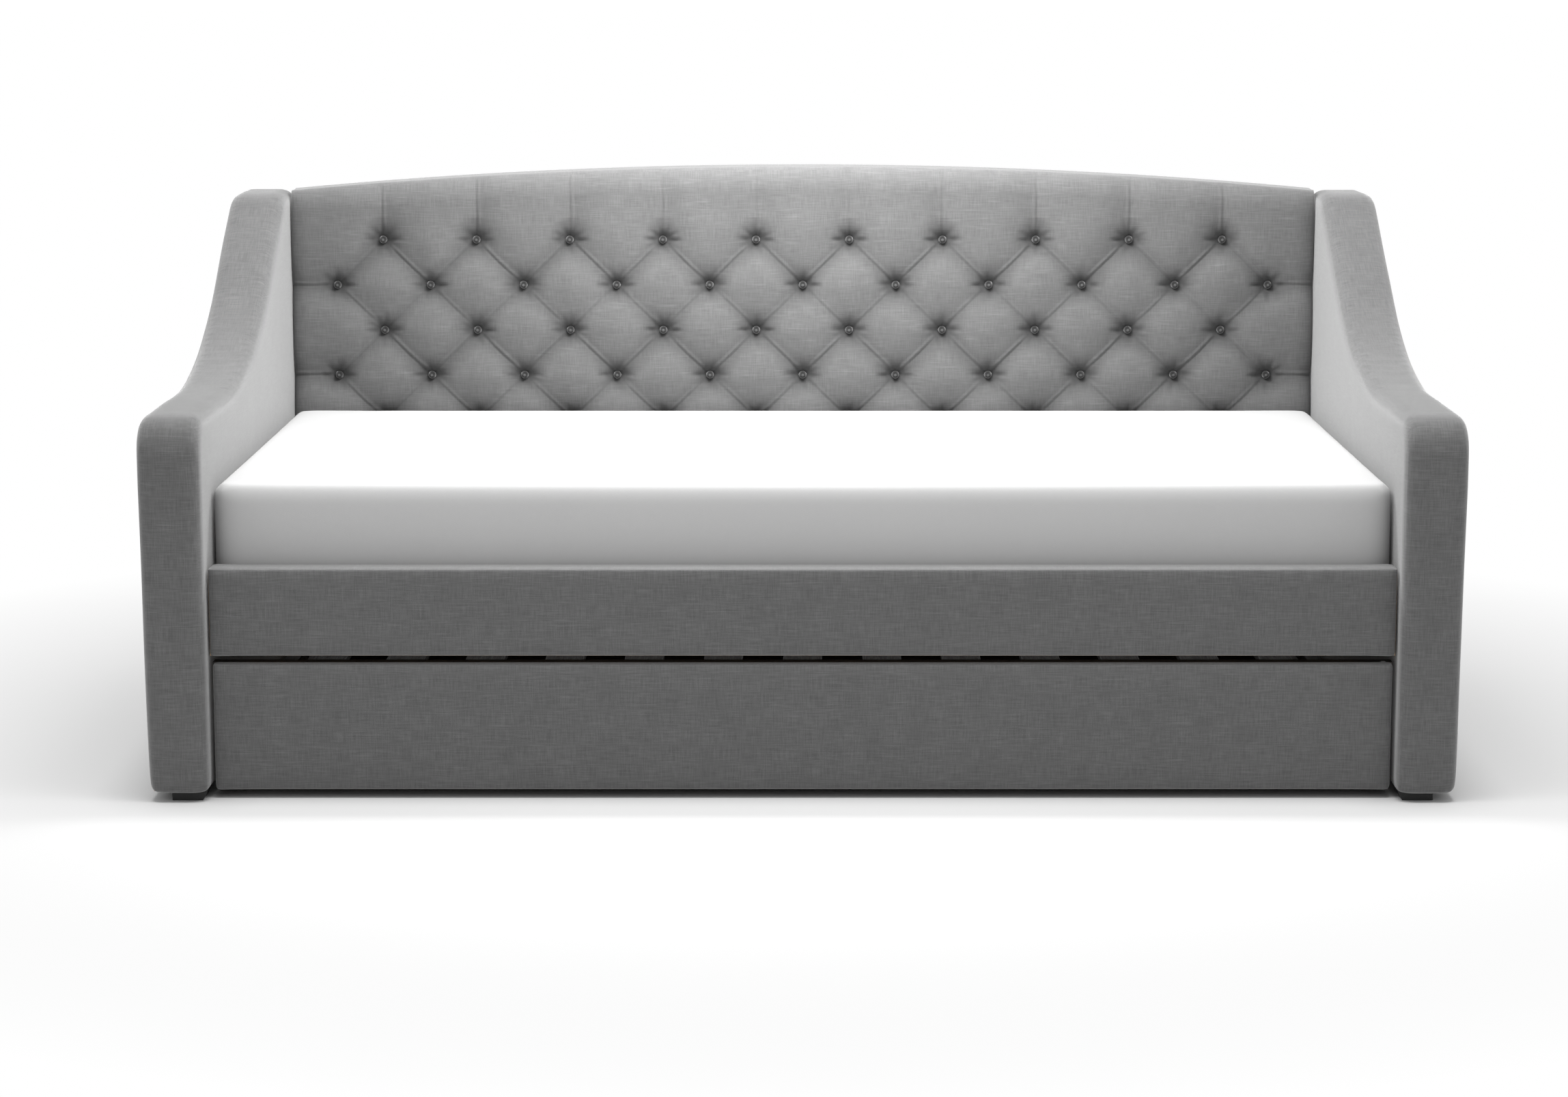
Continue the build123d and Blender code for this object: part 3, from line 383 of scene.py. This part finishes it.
def loops_to_faces(loops, columns, closed_loop=True, capped=True):
    """Quads between neighbouring columns of a (loop, column) grid of points."""
    index = np.arange(loops * columns).reshape(loops, columns)
    if closed_loop:
        index = np.vstack([index, index[:1]])
    quads = np.stack([index[:-1, :-1], index[1:, :-1], index[1:, 1:], index[:-1, 1:]], axis=-1)
    faces = quads.reshape(-1, 4).tolist()
    if capped:
        faces += [index[:loops, 0].tolist(), index[:loops, -1].tolist()[::-1]]
    return faces


def set_points(piece, points):
    """Move a piece's vertices."""
    piece.data.vertices.foreach_set("co", np.asarray(points, dtype=np.float32).ravel())
    piece.data.update()


def bake_modifiers(piece):
    """Replace a piece's mesh by what its modifiers make of it."""
    evaluated = piece.evaluated_get(bpy.context.evaluated_depsgraph_get())
    mesh = bpy.data.meshes.new_from_object(evaluated)
    old = piece.data
    piece.modifiers.clear()
    piece.data = mesh
    mesh.name = piece.name
    bpy.data.meshes.remove(old)


def subdivide(piece):
    """Subdivide a piece once, after whatever modifiers it has, and bake them all."""
    modifier = piece.modifiers.new("subdivide", "SUBSURF")
    modifier.levels = 1
    modifier.render_levels = 1
    bake_modifiers(piece)
    piece.data.shade_smooth()


def skin_of(name, sources, voxel, material):
    """One even skin round some CAD solids, by voxel remesh, without what is sealed inside."""
    joined = bmesh.new()
    for source in sources:
        joined.from_mesh(nodes[source].data)
    mesh = bpy.data.meshes.new(name)
    joined.to_mesh(mesh)
    joined.free()
    piece = bpy.data.objects.new(name, mesh)
    scene.collection.objects.link(piece)
    remesh = piece.modifiers.new("skin", "REMESH")
    remesh.mode = "VOXEL"
    remesh.voxel_size = voxel
    remesh.use_smooth_shade = True
    bake_modifiers(piece)
    keep_largest_island(piece)
    piece.data.materials.clear()
    paint(piece, material)
    return piece


def keep_largest_island(piece):
    """Delete all of a mesh but its largest connected shell."""
    shell = bmesh.new()
    shell.from_mesh(piece.data)
    left = set(shell.verts)
    islands = []
    while left:
        front = [left.pop()]
        island = list(front)
        while front:
            reached = []
            for vertex in front:
                for edge in vertex.link_edges:
                    other = edge.other_vert(vertex)
                    if other in left:
                        left.remove(other)
                        reached.append(other)
            island += reached
            front = reached
        islands.append(island)
    islands.sort(key=len)
    for island in islands[:-1]:
        bmesh.ops.delete(shell, geom=island, context="VERTS")
    shell.to_mesh(piece.data)
    shell.free()


PRESSURE = 4.0
PLUMP_FRAMES = 20
STIFFNESS, SHEAR, BENDING = 25.0, 8.0, 0.6


def plump(piece, cap):
    """Swell a closed skin with a pressurised cloth simulation, no point further than the cap."""
    start = vectors(piece.data)
    cloth = piece.modifiers.new("plump", "CLOTH")
    settings = cloth.settings
    settings.quality = 5
    settings.mass = 0.3
    settings.tension_stiffness = STIFFNESS
    settings.compression_stiffness = STIFFNESS
    settings.shear_stiffness = SHEAR
    settings.bending_stiffness = BENDING
    settings.use_pressure = True
    settings.uniform_pressure_force = PRESSURE
    settings.effector_weights.gravity = 0.0
    cloth.point_cache.frame_start = 1
    cloth.point_cache.frame_end = PLUMP_FRAMES
    for step in range(1, PLUMP_FRAMES + 1):
        scene.frame_set(step)
    evaluated = piece.evaluated_get(bpy.context.evaluated_depsgraph_get())
    move = vectors(evaluated.data) - start
    piece.modifiers.clear()
    scene.frame_set(1)
    length = np.linalg.norm(move, axis=1, keepdims=True)
    set_points(piece, start + move * cap / (cap + length))
    subdivide(piece)


def ripples(seed, points, size, count=24):
    """A smooth random field of about unit height over some points, with waves longer than size."""
    draw = np.random.default_rng(seed)
    total = np.zeros(len(points))
    for _ in range(count):
        direction = draw.normal(size=3)
        wave = direction / np.linalg.norm(direction) * 2 * pi / (size * draw.uniform(1.0, 2.6))
        total += np.sin(points @ wave + draw.uniform(0, 2 * pi))
    return total / sqrt(count / 2)


def inset(piece, distance):
    """Draw a closed skin in along its normals."""
    set_points(piece, vectors(piece.data) - vectors(piece.data, "normal") * distance)


# ---- Arms ---------------------------------------------------------------------------------------

ARM_VOXEL = 7 * MM
TUCK_DEPTH, TUCK_REACH = 3.5 * MM, 12 * MM
LEAN, LEAN_TOP = 6 * MM, 0.5         # the outer face's lean in towards the floor
HEM = 4 * MM                         # fabric below the panels' bottom edges
UNEVEN, UNEVEN_SIZE = 0.5 * MM, 0.16
INNER_GIVE = 0.15                    # share of the unevenness on the faces beside the mattress


def shape_arm(piece):
    """Tuck the arm in towards its bottom edge, and give its fabric a slight unevenness."""
    points = vectors(piece.data)
    normals = vectors(piece.data, "normal")
    side = np.sign(points[:, 0])
    height = points[:, 2] - arm_low[2]
    outer = np.clip((np.abs(points[:, 0]) - arm_low[0]) / (arm_high[0] - arm_low[0]), 0, 1)
    tuck = TUCK_DEPTH * np.exp(-height / TUCK_REACH)
    lean = LEAN * np.clip(1 - height / LEAN_TOP, 0, 1)
    points[:, 0] -= side * outer**2 * (tuck + lean)
    points[:, 2] -= HEM * np.exp(-height / (2 * TUCK_REACH))
    fore_aft = np.clip(-points[:, 1] / arm_high[1], -1, 1)
    points[:, 1] += 0.5 * tuck * np.sign(fore_aft) * np.abs(fore_aft) ** 8
    give = np.where(normals[:, 0] * side < -0.9, INNER_GIVE, 1.0)
    points += normals * (ripples(3, points, UNEVEN_SIZE) * UNEVEN * give)[:, None]
    set_points(piece, points)


def make_arm(side):
    parts = ["arm_cover_", "arm_foam_", "arm_inner_panel_", "arm_outer_panel_", "arm_rails_"]
    sources = [part + side for part in parts]
    piece = skin_of("arm_upholstery_" + side, sources, ARM_VOXEL, upholstery)
    smooth = piece.modifiers.new("smooth", "SMOOTH")
    smooth.iterations = 3
    smooth.factor = 0.5
    subdivide(piece)
    shape_arm(piece)
    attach(piece, "root")
    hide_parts("arm_cover_" + side, "arm_foam_" + side)


for side in ("left", "right"):
    make_arm(side)


# ---- Tufted back --------------------------------------------------------------------------------

BUTTON_RADIUS = 12 * MM
TUFT_ROWS = 5
WIDE_COLUMNS = 5                     # half-columns of buttons in the wide rows, each side
CELLS = 48                           # grid steps from one row of buttons to the next
ROWS_ABOVE, UPPER_ROWS, TURN_ROWS, TOP_ROWS, REAR_ROWS = 12, 14, 14, 6, 8
PAD_DEPTH = 50 * MM
TOP_DEPTH, TOP_DROP = 25 * MM, 42 * MM            # the face's turn over the top edge
SIDE_REACH, SIDE_DEPTH = 34 * MM, 12 * MM         # and its rounding at the two ends
TOP_SAG = 1.2 * MM
REACH = 90 * MM                      # a fold shapes the face this far round it
BOW = 1.6 * MM                       # most that a fold wanders sideways
VALLEY = ((2.2, 12 * MM), (8.6, 36 * MM))         # depth in mm and width of a fold's two hollows
GROOVE, GROOVE_WIDTH = 1.1, 2.2 * MM
RIDGE, RIDGE_WIDTH, RIDGE_AT = 1.6, 3.0 * MM, 4.6 * MM
FOLD_END = 6 * MM
PIT_REACH = 80 * MM
BOWL, BOWL_WIDTH, WELL, WELL_WIDTH = 10.5, 33 * MM, 12.2, 14.5 * MM
STAR, STAR_AT, STAR_WIDTH = 0.8, 23 * MM, 9 * MM
EYE, EYE_AT, EYE_WIDTH, EYE_HEIGHT = 3.0, 21 * MM, 9 * MM, 4 * MM

pitch = (button_high[0] - BUTTON_RADIUS) / WIDE_COLUMNS
first_row = button_high[2] - BUTTON_RADIUS
row_pitch = (first_row - button_low[2] - BUTTON_RADIUS) / (TUFT_ROWS - 1)
back_half = back_high[0]
pad_bottom = slat_high[2] + 4 * MM
back_points = vectors(nodes["back_cover"].data)
side_top = back_points[np.abs(back_points[:, 0]) > back_half - 0.5 * MM][:, 2].max()
rise = back_high[2] - side_top
arch_radius = (back_half**2 + rise**2) / (2 * rise)


def arch_top(x):
    """Height of the back's arched top at x."""
    return back_high[2] - arch_radius + np.sqrt(arch_radius**2 - x**2)


def row_columns(row):
    """Button places along one row, in pitches from the middle."""
    if row % 2 == 0:
        return [column - WIDE_COLUMNS + 0.5 for column in range(2 * WIDE_COLUMNS)]
    return [column - float(WIDE_COLUMNS) for column in range(2 * WIDE_COLUMNS + 1)]


buttons = [
    (column * pitch, first_row - row * row_pitch)
    for row in range(TUFT_ROWS)
    for column in row_columns(row)
]


def pleats():
    """Every fold as (start, end, crispness): diamonds, then folds to the top, sides and bottom."""
    folds = []
    for row in range(TUFT_ROWS - 1):
        z = first_row - row * row_pitch
        crisp = 1.0 if row % 2 == 0 else 0.5
        for column in row_columns(row):
            for step in (-0.5, 0.5):
                if abs(column + step) <= WIDE_COLUMNS:
                    end = ((column + step) * pitch, z - row_pitch)
                    folds.append(((column * pitch, z), end, crisp))
    for column in row_columns(0):
        x = column * pitch
        folds.append(((x, first_row), (x, arch_top(x) - 14 * MM), 1.0))
    for row in (1, 3):
        z = first_row - row * row_pitch
        for side in (-1, 1):
            folds.append(((side * WIDE_COLUMNS * pitch, z), (side * back_half, z), 0.9))
    last = first_row - (TUFT_ROWS - 1) * row_pitch
    for column in row_columns(TUFT_ROWS - 1):
        folds.append(((column * pitch, last), (column * pitch, pad_bottom), 0.6))
    return folds


def bell(distance, width):
    return np.exp(-((distance / width) ** 2))


def tuft_depth(x, z):
    """How far the pad's face lies behind its crown at every point (x, z)."""
    draw = np.random.default_rng(11)
    valley = np.zeros_like(x)
    groove = np.zeros_like(x)
    lip = np.zeros_like(x)
    for start, end, crisp in pleats():
        bow = draw.uniform(-1.0, 1.0) * BOW
        along = np.subtract(end, start)
        length = np.hypot(*along)
        unit = along / length
        upward = np.array([-unit[1], unit[0]])
        if upward[1] < 0 or (upward[1] == 0 and upward[0] * start[0] > 0):
            upward = -upward
        near = (x > min(start[0], end[0]) - REACH) & (x < max(start[0], end[0]) + REACH)
        near &= (z > min(start[1], end[1]) - REACH) & (z < max(start[1], end[1]) + REACH)
        dx, dz = x[near] - start[0], z[near] - start[1]
        t = dx * unit[0] + dz * unit[1]
        off = dx * upward[0] + dz * upward[1]
        inside = np.clip(t, 0, length)
        off = off - bow * np.sin(pi * inside / length)
        past = t - inside
        away = np.hypot(off, past)
        sharp = crisp * bell(past, FOLD_END)
        broad = sum(depth * bell(away, width) for depth, width in VALLEY)
        valley[near] += (broad * (0.55 + 0.45 * crisp)) ** 4
        groove[near] = np.maximum(groove[near], sharp * GROOVE * bell(off, GROOVE_WIDTH))
        lip[near] = np.maximum(lip[near], sharp * RIDGE * bell(off - RIDGE_AT, RIDGE_WIDTH))
    depth = valley**0.25 + groove - lip

    pit = np.zeros_like(x)
    for button_x, button_z in buttons:
        phase, lobes = draw.uniform(0, 2 * pi), draw.integers(7, 11)
        near = (np.abs(x - button_x) < PIT_REACH) & (np.abs(z - button_z) < PIT_REACH)
        dx, dz = (x[near] - button_x) / 1.12, (z[near] - button_z) / 0.98
        r = np.hypot(dx, dz)
        bowl = BOWL * bell(r, BOWL_WIDTH) + WELL / (1 + (r / WELL_WIDTH) ** 3.5)
        star = STAR * bell(r - STAR_AT, STAR_WIDTH) * np.cos(lobes * np.arctan2(dz, dx) + phase)
        eyes = EYE * bell(dz, EYE_HEIGHT) * bell(np.abs(dx) - EYE_AT, EYE_WIDTH)
        pit[near] = np.maximum(pit[near], bowl + star + eyes)
    crowd = 1 - np.exp(-pit / 8)
    depth = depth * (1 - 0.55 * crowd) + pit
    points = np.column_stack([x.ravel(), z.ravel() * 0, z.ravel()])
    uneven = ripples(5, points, 0.09).reshape(x.shape) * 0.55
    return (depth + uneven + 0.8) * MM


def back_grid():
    """Closed profiles up the pad's face, over its top and down its rear, one for each column."""
    step = pitch / 2 / CELLS
    count = int(back_half / step)
    x = np.concatenate([[-back_half], np.arange(-count, count + 1) * step, [back_half]])
    rows_below = int((first_row - pad_bottom - 12 * MM) / (row_pitch / CELLS))
    face_z = first_row + np.arange(-rows_below, ROWS_ABOVE + 1) * row_pitch / CELLS
    top = arch_top(x)
    front, rear = back_low[1], back_high[1] - 1.0 * MM
    frame_front = front + PAD_DEPTH
    edge = back_half - np.abs(x)
    rounded = SIDE_DEPTH * (1 - np.sqrt(1 - (1 - np.clip(edge / SIDE_REACH, 0, 1)) ** 2))
    upper = [
        face_z[-1] + (top - TOP_DROP - face_z[-1]) * k / UPPER_ROWS
        for k in range(1, UPPER_ROWS + 1)
    ]
    levels = np.vstack([np.full_like(x, z) for z in face_z] + upper)
    depth = tuft_depth(np.broadcast_to(x, levels.shape), levels)
    fade_top = np.clip((top - levels) / (2 * TOP_DROP), 0, 1) ** 0.7
    fade_bottom = np.clip((levels - pad_bottom) / (3 * TOP_DEPTH), 0.25, 1)
    face_y = front + depth * fade_top * fade_bottom + rounded

    def level(y, z):
        return np.full_like(x, y), np.full_like(x, z)

    loops = [
        level(frame_front - 2 * MM, back_low[2]),
        level(frame_front, back_low[2] + 3 * MM),
        level(frame_front, pad_bottom - 4 * MM),
        level(frame_front - 4 * MM, pad_bottom),
        (face_y[0] + 12 * MM, np.full_like(x, pad_bottom)),
        (face_y[0] + 4 * MM, np.full_like(x, pad_bottom + 3 * MM)),
        *zip(face_y, levels),
    ]
    for k in range(1, TURN_ROWS + 1):
        turn = k / TURN_ROWS * pi / 2
        y = face_y[-1] + TOP_DEPTH * (1 - np.cos(turn))
        loops.append((y, top - TOP_DROP * (1 - np.sin(turn))))
    across, top_y = rear - 8 * MM, loops[-1][0]
    for k in range(1, TOP_ROWS + 1):
        share = k / TOP_ROWS
        loops.append((top_y + (across - top_y) * share, top - TOP_SAG * np.sin(pi * share)))
    loops += [
        (np.full_like(x, rear - 2.5 * MM), top - 2 * MM),
        (np.full_like(x, rear), top - 7 * MM),
    ]
    for k in range(1, REAR_ROWS + 1):
        z = top - 7 * MM + (back_low[2] + 4 * MM - top + 7 * MM) * k / REAR_ROWS
        loops.append((np.full_like(x, rear), z))
    loops.append(level(rear - 3 * MM, back_low[2]))
    return x, loops


def make_back():
    x, loops = back_grid()
    points = np.stack([np.column_stack([x, y, z]) for y, z in loops])
    faces = loops_to_faces(len(loops), len(x))
    piece = piece_from("back_upholstery", points, faces, tufted, smooth_angle=50)
    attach(piece, "root")
    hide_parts("back_cover", "back_foam")


BUTTON_RINGS = (                     # radius, and depth behind the crown, in mm
    (0.0, 0.0), (1.7, 0.15), (3.0, 0.6), (4.0, 1.6), (5.0, 3.2),
    (6.0, 5.0), (6.8, 7.0), (7.2, 8.8), (6.4, 10.2), (4.0, 10.6),
)
BUTTON_STAND = 9.5 * MM
GATHERS = 14


def make_buttons():
    """Domed buttons covered in the same fabric, each sunk in its pit, with a gathered rim."""
    front = button_high[1] - BUTTON_STAND
    around = 2 * GATHERS
    points, faces = [], []
    for button_x, button_z in buttons:
        base = len(points)
        points.append((button_x, front, button_z))
        for radius, depth in BUTTON_RINGS[1:]:
            for k in range(around):
                angle = 2 * pi * k / around
                gather = 1 + 0.018 * np.cos(GATHERS * angle) * (depth / 9.0)
                points.append((
                    button_x + radius * MM * gather * np.cos(angle),
                    front + depth * MM,
                    button_z + radius * MM * gather * np.sin(angle),
                ))
        for k in range(around):
            faces.append((base, base + 1 + k, base + 1 + (k + 1) % around))
        for ring in range(len(BUTTON_RINGS) - 2):
            row = base + 1 + ring * around
            for k in range(around):
                after = (k + 1) % around
                faces.append((row + k, row + around + k, row + around + after, row + after))
        row = base + 1 + (len(BUTTON_RINGS) - 2) * around
        faces.append([row + k for k in range(around)])
    piece = piece_from("covered_buttons", points, faces, button_linen_painted_shade)
    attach(piece, "root")
    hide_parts("tuft_buttons")


PULL_PITCH, PULL_DEPTH, PULL_REACH = 46 * MM, 0.25 * MM, 22 * MM
REAR_SAG, REAR_SAG_REACH = 0.9 * MM, 30 * MM


def make_rear_cover():
    """The rear panel: the same fabric pulled flat over the frame, with faint pull lines."""
    half = rear_high[0]
    columns, rows = 161, 61
    x = np.linspace(-half, half, columns)
    top = arch_top(x) - 1 * MM
    share = np.linspace(0, 1, rows)[:, None]
    z = rear_low[2] + (top - rear_low[2]) * share
    grid_x = np.broadcast_to(x, z.shape)
    edge = np.minimum.reduce([half - np.abs(grid_x), z - rear_low[2], top - z])
    pulls = np.exp(-edge / PULL_REACH) * np.sin(grid_x * 2 * pi / PULL_PITCH) * PULL_DEPTH
    sag = REAR_SAG * (1 - np.exp(-edge / REAR_SAG_REACH))
    y = rear_high[1] - sag - np.abs(pulls)
    points = np.stack([grid_x, y, z], axis=-1)
    faces = loops_to_faces(rows, columns, closed_loop=False, capped=False)
    piece = piece_from("back_rear_sheet", points, faces, rear_linen)
    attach(piece, "root")
    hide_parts("back_rear_cover")


make_back()
make_buttons()
make_rear_cover()


# ---- Front rail, trundle front and mattress -----------------------------------------------------

PANEL_VOXEL, PANEL_INSET, PANEL_SWELL = 6 * MM, 0.8 * MM, 1.5 * MM
MATTRESS_VOXEL, MATTRESS_INSET, MATTRESS_SWELL = 13 * MM, 2.0 * MM, 3.5 * MM
TRIM = 0.5 * MM                      # the panels' fabric stays this far inside their height
ARM_CLEARANCE = 2.5 * MM             # between the mattress's ends and the arms


def make_panel(name, cover, foam, board, body):
    """An upholstered board: fabric swollen over thin foam, with a hem below the trundle's front."""
    piece = skin_of(name, [cover, foam, board], PANEL_VOXEL, upholstery)
    inset(piece, PANEL_INSET)
    plump(piece, PANEL_SWELL)
    low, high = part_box(cover)
    points = vectors(piece.data)
    points[:, 2] = np.clip(points[:, 2], low[2] + TRIM, high[2] - TRIM)
    if body == "trundle":
        points[:, 2] -= HEM * np.exp(-(points[:, 2] - low[2]) / (2 * TUCK_REACH))
    set_points(piece, points)
    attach(piece, body)
    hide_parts(cover, foam)


def make_mattress():
    """The mattress, swollen all round, with its ends drawn out to the arms."""
    sources = ["mattress_cover", "mattress_core", "mattress_base"]
    piece = skin_of("mattress_white", sources, MATTRESS_VOXEL, mattress_knit)
    inset(piece, MATTRESS_INSET)
    plump(piece, MATTRESS_SWELL)
    points = vectors(piece.data)
    reach = np.abs(points[:, 0]).max()
    stretch = (arm_low[0] - ARM_CLEARANCE - reach) / reach
    points[:, 0] *= 1 + stretch * (np.abs(points[:, 0]) / reach) ** 6
    set_points(piece, points)
    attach(piece, "mattress")
    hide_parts(*sources)


for name, parts, body in (
    ("front_rail_upholstery", ("front_rail_cover", "front_rail_foam", "front_rail_beam"), "root"),
    (
        "trundle_front_upholstery",
        ("trundle_front_cover", "trundle_front_foam", "trundle_front_board"),
        "trundle",
    ),
):
    make_panel(name, *parts, body)
make_mattress()


# ---- Slat straps --------------------------------------------------------------------------------

SLAT_PITCH = 138 * MM
STRAP_SAG, STRAP_RIM = 0.9 * MM, 0.25 * MM


def make_straps():
    """Two lengths of webbing under the slats, sagging a little from slat to slat."""
    points = vectors(nodes["slat_straps"].data)
    half = points[:, 0].max()
    top = points[:, 2].max()
    thickness = top - points[:, 2].min()
    middle = points[:, 1].mean()
    for name, side in (("slat_strap_front", -1), ("slat_strap_rear", 1)):
        own = points[(points[:, 1] - middle) * side > 0]
        low, high = own[:, 1].min(), own[:, 1].max()
        x = np.linspace(-half, half, 281)
        drop = STRAP_SAG * np.sin(pi * x / SLAT_PITCH + pi / 2) ** 2
        loop = [
            (low, -thickness / 2), (low + STRAP_RIM, 0.0), (high - STRAP_RIM, 0.0),
            (high, -thickness / 2), (high - STRAP_RIM, -thickness), (low + STRAP_RIM, -thickness),
        ]
        grid = np.stack([
            np.column_stack([x, np.full_like(x, y), top + z - drop]) for y, z in loop
        ])
        piece = piece_from(name, grid, loops_to_faces(len(loop), len(x)), black_webbing, 40)
        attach(piece, "root")
        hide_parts("slat_straps")


make_straps()


# ---- Floor, light and camera --------------------------------------------------------------------

STUDIO = 90.0
FLOOR_LEVEL = 0.58
FADE_START, FADE_END = 1.15, 2.2     # where the floor turns to the backdrop's white


def make_floor():
    """A pale floor that turns to the backdrop's white with distance from the bed."""
    bpy.ops.mesh.primitive_plane_add(size=2 * STUDIO)
    floor = bpy.context.object
    floor.name = "floor"
    shader = Shader(
        "floor_white", Roughness=0.9, Specular_IOR_Level=0.0, Emission_Color=colour(1.0)
    )
    x, y, _ = shader.split(shader.position)
    squares = shader.math("MULTIPLY", x, x), shader.math("MULTIPLY", y, y)
    away = shader.math("SQRT", shader.math("ADD", *squares))
    fade = shader.remap(away, FADE_START, FADE_END)
    shader.link(shader.mix(fade, FLOOR_LEVEL, 0.0), "Base Color")
    shader.link(fade, "Emission Strength")
    paint(floor, shader.material)


def make_backdrop():
    """A white dome round the studio, seen by the camera alone, so that it lights nothing."""
    bpy.ops.mesh.primitive_uv_sphere_add(segments=48, ring_count=24, radius=STUDIO * 0.95)
    dome = bpy.context.object
    dome.name = "backdrop"
    shader = Shader(
        "backdrop_white",
        Base_Color=colour(0.0), Emission_Color=colour(1.0), Emission_Strength=1.0,
    )
    paint(dome, shader.material)
    for kind in ("diffuse", "glossy", "transmission", "volume_scatter", "shadow"):
        setattr(dome, "visible_" + kind, False)


def make_lamp(name, kind, energy, place, aim, **settings):
    lamp = bpy.data.lights.new(name, kind)
    lamp.energy = energy
    for key, value in settings.items():
        setattr(lamp, key, value)
    holder = bpy.data.objects.new(name, lamp)
    scene.collection.objects.link(holder)
    holder.location = place
    holder.rotation_euler = (Vector(aim) - Vector(place)).to_track_quat("-Z", "Y").to_euler()


WORLD_STRENGTH = 0.66
SOFTBOXES = (                        # name, watts, place, aim, width and depth
    ("overhead_softbox", 12.0, (0, -0.3, 2.7), (0, -0.05, 0), (2.6, 1.6)),
    ("fore_softbox", 15.0, (0, -0.9, 2.1), (0, 0.3, 0.6), (1.2, 0.6)),
    ("back_softbox", 25.0, (0, -0.05, 1.6), (0, 0.3, 0.6), (0.9, 0.3)),
)
CAMERA_PLACE, CAMERA_PITCH = (0.0, -6.305, 1.3545), 9.317
LENS, SHIFT = 83.1, -0.0119

make_floor()
make_backdrop()
make_lamp("overhead_sun", "SUN", 1.9, (0, 0, 4), (0, 0, 0), angle=radians(20))
for name, watts, place, aim, (width, depth) in SOFTBOXES:
    make_lamp(name, "AREA", watts, place, aim, shape="RECTANGLE", size=width, size_y=depth)
world = bpy.data.worlds.new("studio")
world.use_nodes = True
background = world.node_tree.nodes["Background"]
background.inputs["Color"].default_value = colour(1.0)
background.inputs["Strength"].default_value = WORLD_STRENGTH
scene.world = world
scene.view_settings.view_transform = "Standard"

camera_data = bpy.data.cameras.new("camera")
camera_data.sensor_width = 36.0
camera_data.lens = LENS
camera_data.shift_x = SHIFT
camera_data.clip_end = 1000.0
camera = bpy.data.objects.new("camera", camera_data)
scene.collection.objects.link(camera)
camera.location = CAMERA_PLACE
camera.rotation_euler = (radians(90 - CAMERA_PITCH), 0.0, 0.0)
scene.camera = camera
